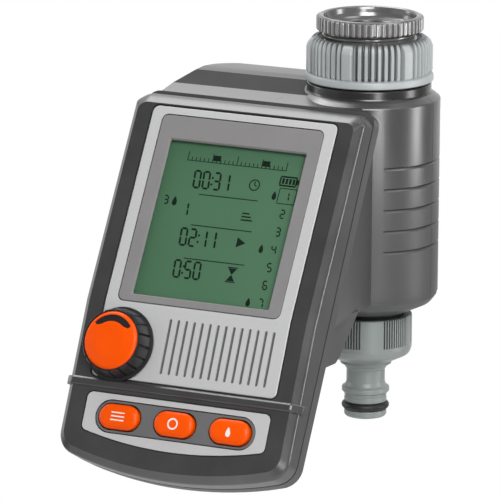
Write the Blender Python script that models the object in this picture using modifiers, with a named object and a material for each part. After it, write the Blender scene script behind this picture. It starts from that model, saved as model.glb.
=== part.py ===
"""Tap-mounted irrigation controller with a lift-off control unit.

The origin is the centre of the inlet's mouth, on the valve axis. +Z is up along
that axis, -Y is towards the display and +X is to the right of someone facing it.
All lengths are metres.
"""
import math

import bmesh
import bpy
from mathutils import Vector

# Clearances
SEAT_GAP = 0.0003
RUN_GAP = 0.0004

# Inlet: adapter ring, union nut and nipple
RING_RADIUS = 0.0188
RING_FLANGE_HEIGHT = 0.0050
RING_TOOTH_DEPTH = 0.0006
RING_TOOTH_COUNT = 48
RING_MOUTH_RADIUS = 0.0152
RING_MOUTH_DEPTH = 0.0038
TAP_THREAD_RADIUS = 0.0133
TAP_THREAD_DEPTH = 0.0110
NECK_THREAD_RADIUS = 0.0166
NECK_SHOW = 0.0022
NUT_HEIGHT = 0.0153
NUT_LOBE_RADIUS = 0.0222
NUT_RIB_RADIUS = 0.0212
NUT_RIB_DEPTH = 0.0007
NUT_LOBE_COUNT = 6
NUT_LOBE_PHASE = math.radians(-90.7)
NUT_RIB_COUNT = 7
NUT_FLANGE_RADIUS = 0.0225
NUT_FLANGE_HEIGHT = 0.0022
NUT_LIP_HEIGHT = 0.0030
NIPPLE_RADIUS = 0.0138
NIPPLE_FLANGE_RADIUS = 0.0162
NIPPLE_FLANGE_HEIGHT = 0.0026
NIPPLE_BORE = 0.0090
NIPPLE_LENGTH = 0.0110
NIPPLE_THREAD_RADIUS = 0.0108
NIPPLE_THREAD_LENGTH = 0.0080
WASHER_THICKNESS = 0.0020
WASHER_HOLE = 0.0102
STRAINER_WALL = 0.0008
STRAINER_DEPTH = 0.0120
STRAINER_FLANGE = 0.0120

# Valve housing
COLLAR_RADIUS = 0.0218
COLLAR_GAP = 0.0006
COLLAR_DROP = 0.0043
CYLINDER_RADIUS = 0.0250
SHOULDER_WIDTH = 0.0028
SHOULDER_HEIGHT = 0.0025
BODY_HEIGHT = 0.0712
BACK_CORNER_RADIUS = 0.0140
FAIRING_ANGLE = math.radians(-60.0)
CONE_HEIGHT = 0.0065
CONE_RADIUS = 0.0155
HOUSING_WALL = 0.0024
SPLIT_GAP = 0.0003
GROOVE_COUNT = 5
GROOVE_TOP = 0.0230
GROOVE_PITCH = 0.00745
GROOVE_WIDTH = 0.0020
GROOVE_DEPTH = 0.0009
GROOVE_START = math.radians(-51.0)
GROOVE_END = math.radians(51.0)
CHIN_INSET = 0.0040
CHIN_DROP = 0.0060
CHIN_LENGTH = 0.0200
SHELL_BOSS_RADIUS = 0.0042
SHELL_BOSS_LENGTH = 0.0090
SHELL_SCREW_RADIUS = 0.0013
SHELL_SCREW_HEAD = 0.0026
SHELL_SCREW_LENGTH = 0.0180
SHELL_SCREW_DROP = 0.0190

# Panel placing and control unit
PANEL_X = -0.0250
CREASE_FORWARD = 0.0798
CREASE_DROP = 0.0927
SEAM_TILT = math.radians(26.7)
DISPLAY_LEAN = math.radians(2.25)
KEY_LEAN = math.radians(3.6)
UNIT_THICKNESS = 0.0120
UNIT_HALF_WIDTH = 0.0446
UNIT_TOP = 0.0793
UNIT_BOTTOM = 0.0592
UNIT_BOTTOM_ARC = 0.1500
UNIT_TOP_CORNER = 0.0050
UNIT_BOTTOM_CORNER = 0.0080
UNIT_BEVEL = 0.0024
RIM_WALL = 0.0018
COVER_WALL = 0.0032
COVER_FRONT = 0.0022
LEDGE_DEPTH = 0.0034
DOCK_THICKNESS = 0.0050
BACK_PLATE_THICKNESS = 0.0018
GASKET_HEIGHT = 0.0008

# Front trim, on the display plane and the key plane
PLATE_THICKNESS = 0.0008
PLATE_PROUD = 0.0001
FACEPLATE_HALF_WIDTH = 0.0359
FACEPLATE_TOP_INSET = 0.0072
FACEPLATE_BOTTOM = 0.0268
PLATE_CORNER = 0.0022
DISPLAY_HALF_WIDTH = 0.0314
DISPLAY_TOP_INSET = 0.0035
DISPLAY_BOTTOM = 0.0005
DISPLAY_CORNER = 0.0022
DISPLAY_DEPTH = 0.0037
LIP_DEPTH = 0.0009
VIEW_HALF_WIDTH = 0.0264
VIEW_TOP_INSET = 0.0088
VIEW_BOTTOM = 0.0033
POCKET_MARGIN = 0.0024
WINDOW_THICKNESS = 0.0010
LCD_THICKNESS = 0.0010
HOLDER_THICKNESS = 0.0008
BAR_TOP = 0.0276
BAR_HEIGHT = 0.0031
BAR_PROUD = 0.0010
SLOT_COUNT = 14
SLOT_PITCH = 0.00308
SLOT_WIDTH = 0.0010
SLOT_TOP = 0.0042
SLOT_LENGTH = 0.0192
SLOT_CENTRE = 0.0108
KEY_PLATE_TOP = 0.0324
KEY_PLATE_HALF_WIDTH = 0.0355
KEY_PLATE_BOTTOM = 0.0499
PAD_SIDE_MARGIN = 0.0012
PAD_EDGE_MARGIN = 0.0011
PAD_THICKNESS = 0.0010
KEY_ROW = 0.0402
KEY_SPACING = 0.0215
KEY_HALF_WIDTH = 0.0081
KEY_HALF_HEIGHT = 0.0045
KEY_PROUD = 0.0018
KEY_TRAVEL = 0.0009

# Selector knob and encoder
KNOB_X = -0.0267
KNOB_ROW = 0.0151
KNOB_RADIUS = 0.0120
KNOB_TOP_RADIUS = 0.0110
KNOB_LIFT = 0.0006
KNOB_HEIGHT = 0.0062
KNOB_FLUTES = 16
KNOB_FLUTE_DEPTH = 0.0006
CAP_RADIUS = 0.0102
CAP_THICKNESS = 0.0022
CAP_SINK = 0.0010
CAP_MARK_DEPTH = 0.0006
SHAFT_RADIUS = 0.0030
ENCODER_SIZE = 0.0120
ENCODER_TOP = 0.0030

# Electronics and battery
BOARD_CLEARANCE = 0.0004
BOARD_TOP_INSET = 0.0093
BOARD_BOTTOM_INSET = 0.0112
BOARD_THICKNESS = 0.0016
MAT_THICKNESS = 0.0012
COVER_BOSS_RADIUS = 0.0028
COVER_BOSS_INSET = 0.0064
COVER_BOSS_TOP_INSET = 0.0078
COVER_BOSS_BOTTOM = 0.0390
COVER_SCREW_RADIUS = 0.0010
COVER_SCREW_HEAD = 0.0019
COVER_SCREW_LENGTH = 0.0040
BATTERY_LENGTH = 0.0485
BATTERY_WIDTH = 0.0265
BATTERY_DEPTH = 0.0175
BATTERY_BASE = 0.0100
SNAP_LENGTH = 0.0040
BAY_WALL = 0.0014
POCKET_WALL = 0.0016
PIN_RADIUS = 0.0010
PIN_SPACING = 0.0080
PIN_ROW = 0.0065
CONTACT_RADIUS = 0.0026
CONTACT_THICKNESS = 0.0012

# Valve block, diaphragm valve and solenoid
BLOCK_RADIUS = 0.0125
BLOCK_TOP_RADIUS = 0.0160
BLOCK_TOP_HEIGHT = 0.0100
BLOCK_FOOT_RADIUS = 0.0180
BLOCK_FOOT_HEIGHT = 0.0025
PASSAGE_RADIUS = 0.0070
SEAL_THICKNESS = 0.0016
VALVE_DROP = 0.0360
BOSS_RADIUS = 0.0170
BOSS_REACH = 0.0240
CHAMBER_RADIUS = 0.0118
CHAMBER_DEPTH = 0.0070
SEAT_RADIUS = 0.0046
SEAT_WALL = 0.0020
PORT_RADIUS = 0.0018
DIAPHRAGM_RADIUS = 0.0130
DIAPHRAGM_THICKNESS = 0.0020
BONNET_THICKNESS = 0.0068
GUIDE_RADIUS = 0.0055
GUIDE_BORE = 0.0036
SPRING_LENGTH = 0.0075
PLUNGER_LENGTH = 0.0180
SPRING_WIRE = 0.00035
SPRING_TURNS = 4
COIL_RADIUS = 0.0115
COIL_LENGTH = 0.0160
YOKE_THICKNESS = 0.0015
BONNET_SCREW_CIRCLE = 0.0150
BONNET_SCREW_RADIUS = 0.0010
BONNET_SCREW_HEAD = 0.0018
BONNET_SCREW_LENGTH = 0.0120
LEAD_RADIUS = 0.0007
LEAD_SIDE = 0.0070
LEAD_BEHIND = 0.0067
LEAD_RISE = 0.0270
LEAD_TURN = 0.0030
LEAD_SLACK = 0.0080

# Outlet: threaded spigot and push-fit hose connector
SPIGOT_RADIUS = 0.0131
SPIGOT_LENGTH = 0.0105
CONNECTOR_GAP = 0.0080
CONNECTOR_RADIUS = 0.0161
CONNECTOR_RIB_DEPTH = 0.0005
CONNECTOR_RIB_COUNT = 11
CONNECTOR_SIDES = 3
CONNECTOR_WIDE_STRIP = math.radians(28.4)
CONNECTOR_NARROW_STRIP = math.radians(12.4)
CONNECTOR_PHASE = math.radians(-70.1)
CONNECTOR_NUT_HEIGHT = 0.0115
CONNECTOR_TAPER = 0.0065
CONNECTOR_WAIST = 0.0091
CONNECTOR_NECK_RADIUS = 0.0068
CONNECTOR_NECK = 0.0075
CONNECTOR_COLLAR_RADIUS = 0.0084
CONNECTOR_COLLAR = 0.0015
CONNECTOR_NOSE_RADIUS = 0.0075
CONNECTOR_BARREL = 0.0050
CONNECTOR_TIP = 0.0024
CONNECTOR_BORE = 0.0045
ORING_RADIUS = 0.0015
ORING_SINK = 0.0010

# Levels below the inlet mouth
RING_UNDERSIDE_Z = -RING_FLANGE_HEIGHT
NUT_TOP_Z = RING_UNDERSIDE_Z - NECK_SHOW
NUT_BASE_Z = NUT_TOP_Z - NUT_HEIGHT
NIPPLE_FLANGE_Z = NUT_BASE_Z + NUT_LIP_HEIGHT + SEAT_GAP
NIPPLE_TOP_Z = NIPPLE_FLANGE_Z + NIPPLE_FLANGE_HEIGHT
NUT_WASHER_Z = NIPPLE_TOP_Z + SEAT_GAP
NECK_END_Z = NUT_WASHER_Z + WASHER_THICKNESS + SEAT_GAP
TAP_WASHER_Z = -TAP_THREAD_DEPTH + SEAT_GAP
PLATFORM_Z = NUT_BASE_Z - COLLAR_DROP
BODY_BASE_Z = PLATFORM_Z - BODY_HEIGHT
CONE_END_Z = BODY_BASE_Z - CONE_HEIGHT
NIPPLE_SHOULDER_Z = NIPPLE_FLANGE_Z - NIPPLE_LENGTH
BLOCK_TOP_Z = NIPPLE_SHOULDER_Z - SEAT_GAP
FLOOR_Z = BODY_BASE_Z + HOUSING_WALL
VALVE_Z = PLATFORM_Z - VALVE_DROP
SPIGOT_END_Z = CONE_END_Z - SPIGOT_LENGTH
CONNECTOR_TOP_Z = BODY_BASE_Z - CONNECTOR_GAP
CREASE_Z = -CREASE_DROP

# Places on the control unit, from its edges
FACEPLATE_TOP = UNIT_TOP - FACEPLATE_TOP_INSET
DISPLAY_TOP = FACEPLATE_TOP - DISPLAY_TOP_INSET
VIEW_TOP = DISPLAY_TOP - VIEW_TOP_INSET
COVER_BOSS_X = UNIT_HALF_WIDTH - COVER_BOSS_INSET
COVER_BOSS_TOP = UNIT_TOP - COVER_BOSS_TOP_INSET
BOARD_HALF_WIDTH = COVER_BOSS_X - COVER_BOSS_RADIUS - BOARD_CLEARANCE
BOARD_TOP = UNIT_TOP - BOARD_TOP_INSET
BOARD_BOTTOM = UNIT_BOTTOM - BOARD_BOTTOM_INSET
PAD_HALF_WIDTH = KEY_SPACING + KEY_HALF_WIDTH + PAD_SIDE_MARGIN
PAD_HALF_HEIGHT = KEY_HALF_HEIGHT + PAD_EDGE_MARGIN
STEPS = 24
SHOWN_STEPS = 32

PARTS = bpy.data.collections.new("irrigation_controller")
CUTTERS = bpy.data.collections.new("cutters")


def clear_scene():
    for obj in list(bpy.data.objects):
        bpy.data.objects.remove(obj, do_unlink=True)
    bpy.context.scene.collection.children.link(PARTS)
    bpy.context.scene.collection.children.link(CUTTERS)


# Placing and finishing
def add_object(name, data, frame=None):
    obj = bpy.data.objects.new(name, data)
    obj.parent = frame
    PARTS.objects.link(obj)
    return obj


def add_frame(name, location, tilt):
    """An empty whose X is right, Y runs up a face that leans back by tilt and Z points out of it."""
    frame = bpy.data.objects.new(name, None)
    frame.location = location
    frame.rotation_euler = (math.pi / 2 - tilt, 0.0, 0.0)
    frame.empty_display_size = 0.01
    PARTS.objects.link(frame)
    return frame


def finish(obj, colour, roughness=0.5, metallic=0.0):
    material = bpy.data.materials.new(obj.name)
    material.use_nodes = True
    shader = material.node_tree.nodes["Principled BSDF"]
    shader.inputs["Base Color"].default_value = (*colour, 1.0)
    shader.inputs["Roughness"].default_value = roughness
    shader.inputs["Metallic"].default_value = metallic
    material.diffuse_color = (*colour, 1.0)
    obj.data.materials.append(material)
    return obj


def as_tool(obj):
    PARTS.objects.unlink(obj)
    CUTTERS.objects.link(obj)
    obj.hide_render = True
    obj.display_type = "WIRE"
    return obj


def boolean(target, tool, operation):
    as_tool(tool)
    modifier = target.modifiers.new(tool.name, "BOOLEAN")
    modifier.object = tool
    modifier.operation = operation
    modifier.solver = "EXACT"


def cut(target, *tools):
    for tool in tools:
        boolean(target, tool, "DIFFERENCE")


def join(target, *tools):
    for tool in tools:
        boolean(target, tool, "UNION")


# Outlines, as lists of (x, y) points that run anticlockwise
def arc(centre, radius, start, end, steps):
    angles = [start + (end - start) * i / steps for i in range(steps + 1)]
    return [(centre[0] + radius * math.cos(a), centre[1] + radius * math.sin(a)) for a in angles]


def rounded(corners, steps=4):
    """Outline through (x, y, radius) corners, each turned by an arc."""
    outline = []
    for i, (x, y, radius) in enumerate(corners):
        here = Vector((x, y))
        if radius <= 0:
            outline.append((x, y))
            continue
        back = (Vector(corners[i - 1][:2]) - here).normalized()
        ahead = (Vector(corners[(i + 1) % len(corners)][:2]) - here).normalized()
        half = back.angle(ahead) / 2
        centre = here + (back + ahead).normalized() * radius / math.sin(half)
        first = here + back * radius / math.tan(half) - centre
        start = math.atan2(first.y, first.x)
        outline += arc(centre, radius, start, start + math.pi - 2 * half, steps)
    return outline


def rectangle(half_width, bottom, top, radius=0.0, steps=4):
    return rounded([(-half_width, bottom, radius), (half_width, bottom, radius),
                    (half_width, top, radius), (-half_width, top, radius)], steps)


def stadium(x, y, half_width, half_height, steps=8):
    reach = half_width - half_height
    right = arc((x + reach, y), half_height, -math.pi / 2, math.pi / 2, steps)
    left = arc((x - reach, y), half_height, math.pi / 2, 3 * math.pi / 2, steps)
    return right + left


def toothed(radius, depth, count):
    outline = []
    for i in range(count):
        valley = radius - depth
        for share, reach in ((0.05, valley), (0.30, valley), (0.45, radius), (0.90, radius)):
            angle = 2 * math.pi * (i + share) / count
            outline.append((reach * math.cos(angle), reach * math.sin(angle)))
    return outline


def arched_outline(half_width, top, apex, arc_radius, top_corner, bottom_corner, crease=True, steps=4):
    """Outline with square shoulders and a bottom that bows down by a shallow arc."""
    def bottom(x):
        return -apex + arc_radius - math.sqrt(arc_radius ** 2 - x ** 2)
    chords = 6
    low = [-half_width + 2 * half_width * i / chords for i in range(1, chords)]
    corners = [(-half_width, bottom(half_width), bottom_corner)]
    corners += [(x, bottom(x), 0.0) for x in low]
    corners.append((half_width, bottom(half_width), bottom_corner))
    if crease:
        corners.append((half_width, 0.0, 0.0))
    corners += [(half_width, top, top_corner), (-half_width, top, top_corner)]
    if crease:
        corners.append((-half_width, 0.0, 0.0))
    return rounded(corners, steps)


# Solids
def loft(name, rings, frame=None, bent=False):
    """Closed skin through rings of points; a bent cap is folded along its two points at y = 0."""
    mesh = bmesh.new()
    loops = [[mesh.verts.new(point) for point in ring] for ring in rings]
    for lower, upper in zip(loops, loops[1:]):
        for i in range(len(lower)):
            mesh.faces.new((lower[i - 1], lower[i], upper[i], upper[i - 1]))
    for loop in (loops[0], loops[-1]):
        cap = mesh.faces.new(loop)
        if bent:
            ends = [vert for vert in loop if abs(vert.co.y) < 1e-9]
            bmesh.utils.face_split(cap, ends[0], ends[1])
    bmesh.ops.recalc_face_normals(mesh, faces=mesh.faces[:])
    data = bpy.data.meshes.new(name)
    mesh.to_mesh(data)
    mesh.free()
    return add_object(name, data, frame)


def prism(name, outline, low, high, frame=None):
    return loft(name, [[(x, y, low) for x, y in outline], [(x, y, high) for x, y in outline]], frame)


def turned(name, profile, frame=None, steps=STEPS, bore=False):
    """Profile of (radius, height) points spun about Z; a profile with a bore closes on itself.

    Each solid starts its turn at another angle, so that no cut runs along its neighbour's edges.
    """
    start = 2 * math.pi / steps * (0.37 * len(bpy.data.meshes) % 1.0)
    data = bpy.data.meshes.new(name)
    edges = [(i, i + 1) for i in range(len(profile) - 1)]
    if bore:
        edges.append((len(profile) - 1, 0))
    data.from_pydata([(r * math.cos(start), r * math.sin(start), z) for r, z in profile], edges, [])
    obj = add_object(name, data, frame)
    modifier = obj.modifiers.new("turn", "SCREW")
    modifier.steps = modifier.render_steps = steps
    modifier.use_merge_vertices = True
    modifier.merge_threshold = 1e-5
    modifier.use_smooth_shade = True
    return obj


def tube_ring(name, outer, inner, low, high, frame=None, steps=STEPS):
    return turned(name, [(outer, high), (outer, low), (inner, low), (inner, high)], frame, steps, bore=True)


def rod(name, radius, low, high, frame=None, steps=STEPS):
    return turned(name, [(0.0, high), (radius, high), (radius, low), (0.0, low)], frame, steps)


def screw_hole(name, radius, head_radius, low, seat, high, frame=None):
    """Cutter for a shank from low to seat and for its head from seat to high."""
    return turned(name, [(0.0, high), (head_radius, high), (head_radius, seat), (radius, seat), (radius, low),
                         (0.0, low)], frame, 12)


def lay_along(obj, direction, origin):
    """Turn an upright solid so that its Z runs along a world direction from origin."""
    obj.rotation_mode = "QUATERNION"
    obj.rotation_quaternion = Vector((0.0, 0.0, 1.0)).rotation_difference(Vector(direction))
    obj.location = origin
    return obj


def block(name, low, high, frame=None):
    (x0, y0, z0), (x1, y1, z1) = low, high
    return prism(name, [(x0, y0), (x1, y0), (x1, y1), (x0, y1)], z0, z1, frame)


def screw_profile(radius, head_radius, head_height, length):
    """Pan-head screw, head up, with the head's underside at zero."""
    return [(0.0, head_height), (head_radius * 0.7, head_height), (head_radius, head_height * 0.5),
            (head_radius, 0.0), (radius, 0.0), (radius, -length + radius), (radius * 0.3, -length),
            (0.0, -length)]


# Inlet group
def build_adapter_ring():
    outline = toothed(RING_RADIUS, RING_TOOTH_DEPTH, RING_TOOTH_COUNT)
    chamfer = RING_TOOTH_DEPTH * 1.5
    shrink = (RING_RADIUS - chamfer) / RING_RADIUS
    rings = []
    low = RING_UNDERSIDE_Z
    for z, scale in ((low, shrink), (low + chamfer, 1.0), (-chamfer, 1.0), (0.0, shrink)):
        rings.append([(x * scale, y * scale, z) for x, y in outline])
    ring = loft("adapter_ring", rings)
    join(ring, rod("ring_neck", NECK_THREAD_RADIUS, NECK_END_Z, RING_UNDERSIDE_Z / 2, steps=SHOWN_STEPS))
    mouth = RING_MOUTH_RADIUS - TAP_THREAD_RADIUS
    cut(ring, turned("ring_bore", [
        (0.0, mouth), (RING_MOUTH_RADIUS, mouth), (RING_MOUTH_RADIUS, -RING_MOUTH_DEPTH),
        (TAP_THREAD_RADIUS, -RING_MOUTH_DEPTH),
        (TAP_THREAD_RADIUS, -TAP_THREAD_DEPTH), (WASHER_HOLE, -TAP_THREAD_DEPTH),
        (WASHER_HOLE, NECK_END_Z - mouth), (0.0, NECK_END_Z - mouth)], steps=SHOWN_STEPS))
    finish(ring, (0.17, 0.17, 0.18), 0.4)
    washer = tube_ring("tap_washer", TAP_THREAD_RADIUS - SEAT_GAP, WASHER_HOLE, TAP_WASHER_Z,
                       TAP_WASHER_Z + WASHER_THICKNESS)
    finish(washer, (0.02, 0.02, 0.02), 0.8)


def build_union_nut():
    def lobed(radius_cut):
        outline = []
        pitch = 2 * math.pi / NUT_LOBE_COUNT
        shape = [(0.03, NUT_LOBE_RADIUS), (0.20, NUT_LOBE_RADIUS)]
        rib = 0.75 / NUT_RIB_COUNT
        for k in range(NUT_RIB_COUNT):
            shape += [(0.268 + rib * k, NUT_RIB_RADIUS), (0.322 + rib * k, NUT_RIB_RADIUS - NUT_RIB_DEPTH)]
        for i in range(NUT_LOBE_COUNT):
            for share, radius in shape:
                angle = NUT_LOBE_PHASE + pitch * (i + share)
                reach = radius - radius_cut
                outline.append((reach * math.cos(angle), reach * math.sin(angle)))
        return outline
    flange = [math.atan2(y, x) for x, y in lobed(0.0)]
    flange = [(NUT_FLANGE_RADIUS * math.cos(a), NUT_FLANGE_RADIUS * math.sin(a)) for a in flange]
    chamfer = NUT_FLANGE_HEIGHT / 2
    levels = [(flange, NUT_BASE_Z), (flange, NUT_BASE_Z + NUT_FLANGE_HEIGHT),
              (lobed(0.0), NUT_BASE_Z + NUT_FLANGE_HEIGHT * 1.2), (lobed(0.0), NUT_TOP_Z - chamfer),
              (lobed(chamfer), NUT_TOP_Z)]
    nut = loft("union_nut", [[(x, y, z) for x, y in outline] for outline, z in levels])
    bore = NECK_THREAD_RADIUS + RUN_GAP
    lip = NIPPLE_RADIUS + RUN_GAP
    reach = NUT_FLANGE_HEIGHT
    cut(nut, turned("nut_bore", [
        (0.0, NUT_TOP_Z + reach), (bore, NUT_TOP_Z + reach), (bore, NUT_BASE_Z + NUT_LIP_HEIGHT),
        (lip, NUT_BASE_Z + NUT_LIP_HEIGHT), (lip, NUT_BASE_Z - reach), (0.0, NUT_BASE_Z - reach)]))
    finish(nut, (0.50, 0.52, 0.52), 0.45)


def build_nipple():
    seat = STRAINER_FLANGE + SEAT_GAP
    ledge_z = NIPPLE_TOP_Z - WASHER_THICKNESS / 2 - SEAT_GAP
    thread_end = NIPPLE_SHOULDER_Z - NIPPLE_THREAD_LENGTH
    nipple = turned("inlet_nipple", [
        (NIPPLE_FLANGE_RADIUS, NIPPLE_TOP_Z), (NIPPLE_FLANGE_RADIUS, NIPPLE_FLANGE_Z),
        (NIPPLE_RADIUS, NIPPLE_FLANGE_Z), (NIPPLE_RADIUS, NIPPLE_SHOULDER_Z),
        (NIPPLE_THREAD_RADIUS, NIPPLE_SHOULDER_Z), (NIPPLE_THREAD_RADIUS, thread_end),
        (NIPPLE_BORE, thread_end), (NIPPLE_BORE, ledge_z), (seat, ledge_z), (seat, NIPPLE_TOP_Z)], bore=True)
    finish(nipple, (0.08, 0.08, 0.085), 0.5)
    cup = NIPPLE_BORE - RUN_GAP
    top = NIPPLE_TOP_Z - SEAT_GAP
    flange_z = ledge_z + SEAT_GAP
    strainer = turned("inlet_strainer", [
        (0.0, top), (STRAINER_FLANGE, top), (STRAINER_FLANGE, flange_z), (cup, flange_z),
        (cup, top - STRAINER_DEPTH), (0.0, top - STRAINER_DEPTH)])
    hollow_end = top - STRAINER_DEPTH + STRAINER_WALL
    cut(strainer, rod("strainer_hollow", cup - STRAINER_WALL, hollow_end, top + STRAINER_WALL))
    finish(strainer, (0.45, 0.47, 0.50), 0.4, 0.3)
    washer = tube_ring("nut_washer", NIPPLE_FLANGE_RADIUS, WASHER_HOLE, NUT_WASHER_Z,
                       NUT_WASHER_Z + WASHER_THICKNESS)
    finish(washer, (0.02, 0.02, 0.02), 0.8)
    seal = tube_ring("nipple_seal", NIPPLE_RADIUS - SEAT_GAP, NIPPLE_THREAD_RADIUS + SEAT_GAP,
                     BLOCK_TOP_Z - SEAL_THICKNESS, BLOCK_TOP_Z)
    finish(seal, (0.02, 0.02, 0.02), 0.8)


# Panel planes
def seam_point(up, out):
    """World (y, z) of a point on the panel: up along the seam plane and out of it."""
    foot_y = -CREASE_FORWARD + UNIT_THICKNESS * math.cos(SEAM_TILT)
    foot_z = CREASE_Z - UNIT_THICKNESS * math.sin(SEAM_TILT)
    return (foot_y + up * math.sin(SEAM_TILT) - out * math.cos(SEAM_TILT),
            foot_z + up * math.cos(SEAM_TILT) + out * math.sin(SEAM_TILT))


def dock_y(z, depth):
    """World y, at height z, of the plane that lies depth behind the seam."""
    y, foot_z = seam_point(0.0, -depth)
    return y + (z - foot_z) * math.tan(SEAM_TILT)


def front_z(y, sink=0.0):
    """Height of the control unit's folded front above the seam plane."""
    lean = DISPLAY_LEAN if y > 0 else KEY_LEAN
    return UNIT_THICKNESS - abs(y) * math.tan(lean) - sink


def unit_outline(inset):
    return arched_outline(UNIT_HALF_WIDTH - inset, UNIT_TOP - inset, UNIT_BOTTOM - inset,
                          UNIT_BOTTOM_ARC - inset, UNIT_TOP_CORNER - inset, UNIT_BOTTOM_CORNER - inset)


def folded_sheet(name, outline, top_sink, bottom_sink, frame):
    """Plate that follows the folded front, between two depths below it."""
    rings = [[(x, y, front_z(y, sink)) for x, y in outline] for sink in (bottom_sink, top_sink)]
    return loft(name, rings, frame, bent=True)


# Valve housing
def body_ring(z, inset, depth):
    side = UNIT_HALF_WIDTH - SEAT_GAP - inset
    left, right = PANEL_X - side, PANEL_X + side
    front = dock_y(z, depth)
    radius = CYLINDER_RADIUS - inset
    corner = BACK_CORNER_RADIUS - inset
    outline = [(left, front), (right, front)]
    outline += arc((0.0, 0.0), radius, FAIRING_ANGLE, math.pi / 2, 14)
    outline += arc((left + corner, radius - corner), corner, math.pi / 2, math.pi, 5)
    return [(x, y, z) for x, y in outline]


def chin_depth():
    """Depth of the keel, which reaches below the dock's terminal."""
    return BODY_BASE_Z - seam_point(-PIN_ROW, -DOCK_THICKNESS)[1] + CHIN_DROP


def chin_prism(name, inset):
    """Keel under the housing that runs into the dock plate."""
    height = chin_depth()
    top = BODY_BASE_Z + (HOUSING_WALL + inset) * 0.6
    low = BODY_BASE_Z - height + inset
    depth = DOCK_THICKNESS + SEAT_GAP if inset else DOCK_THICKNESS / 2
    front_top, front_low = dock_y(top, depth), dock_y(low, depth)
    back = dock_y(BODY_BASE_Z, DOCK_THICKNESS) + CHIN_LENGTH + height / 2 - inset
    knee = dock_y(low, DOCK_THICKNESS) + CHIN_LENGTH - inset
    profile = [(front_top, top), (front_low, low), (knee - height / 4, low),
               (knee, low + height / 8), (back, top)]
    side = UNIT_HALF_WIDTH - CHIN_INSET - inset
    rings = [[(x, y, z) for y, z in profile] for x in (PANEL_X - side, PANEL_X + side)]
    return loft(name, rings)


def shell_screw_places():
    """(x, z) of the screws that pull the two housing shells together."""
    left = PANEL_X - UNIT_HALF_WIDTH + HOUSING_WALL + SHELL_BOSS_RADIUS * 0.8
    right = CYLINDER_RADIUS - HOUSING_WALL - SHELL_BOSS_RADIUS * 1.25
    high, low = PLATFORM_Z - SHELL_SCREW_DROP, BODY_BASE_Z + SHELL_SCREW_DROP
    return [(left, high), (left, low), (right, high), (right, low)]


def battery_box():
    """Half width, bottom and top, on the seam plane, of the space the battery and its snap fill."""
    return (BATTERY_WIDTH / 2 + RUN_GAP, BATTERY_BASE,
            BATTERY_BASE + BATTERY_LENGTH + SNAP_LENGTH + 3 * RUN_GAP)


def bay_outline(margin):
    half, low, high = battery_box()
    return rectangle(half + margin, low - margin, high + margin)


def terminal_outline(margin):
    """Two-pole terminal in the dock plate that feeds the solenoid."""
    return stadium(0.0, -PIN_ROW, PIN_SPACING + CONTACT_RADIUS + margin, CONTACT_RADIUS + margin, 6)


def header_outline(margin):
    """Contact strip on the control unit that meets the terminal."""
    return stadium(0.0, -PIN_ROW, PIN_SPACING + PIN_RADIUS + margin, PIN_RADIUS + margin, 4)


def bay_depth():
    return BATTERY_DEPTH + 2 * SEAT_GAP


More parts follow.
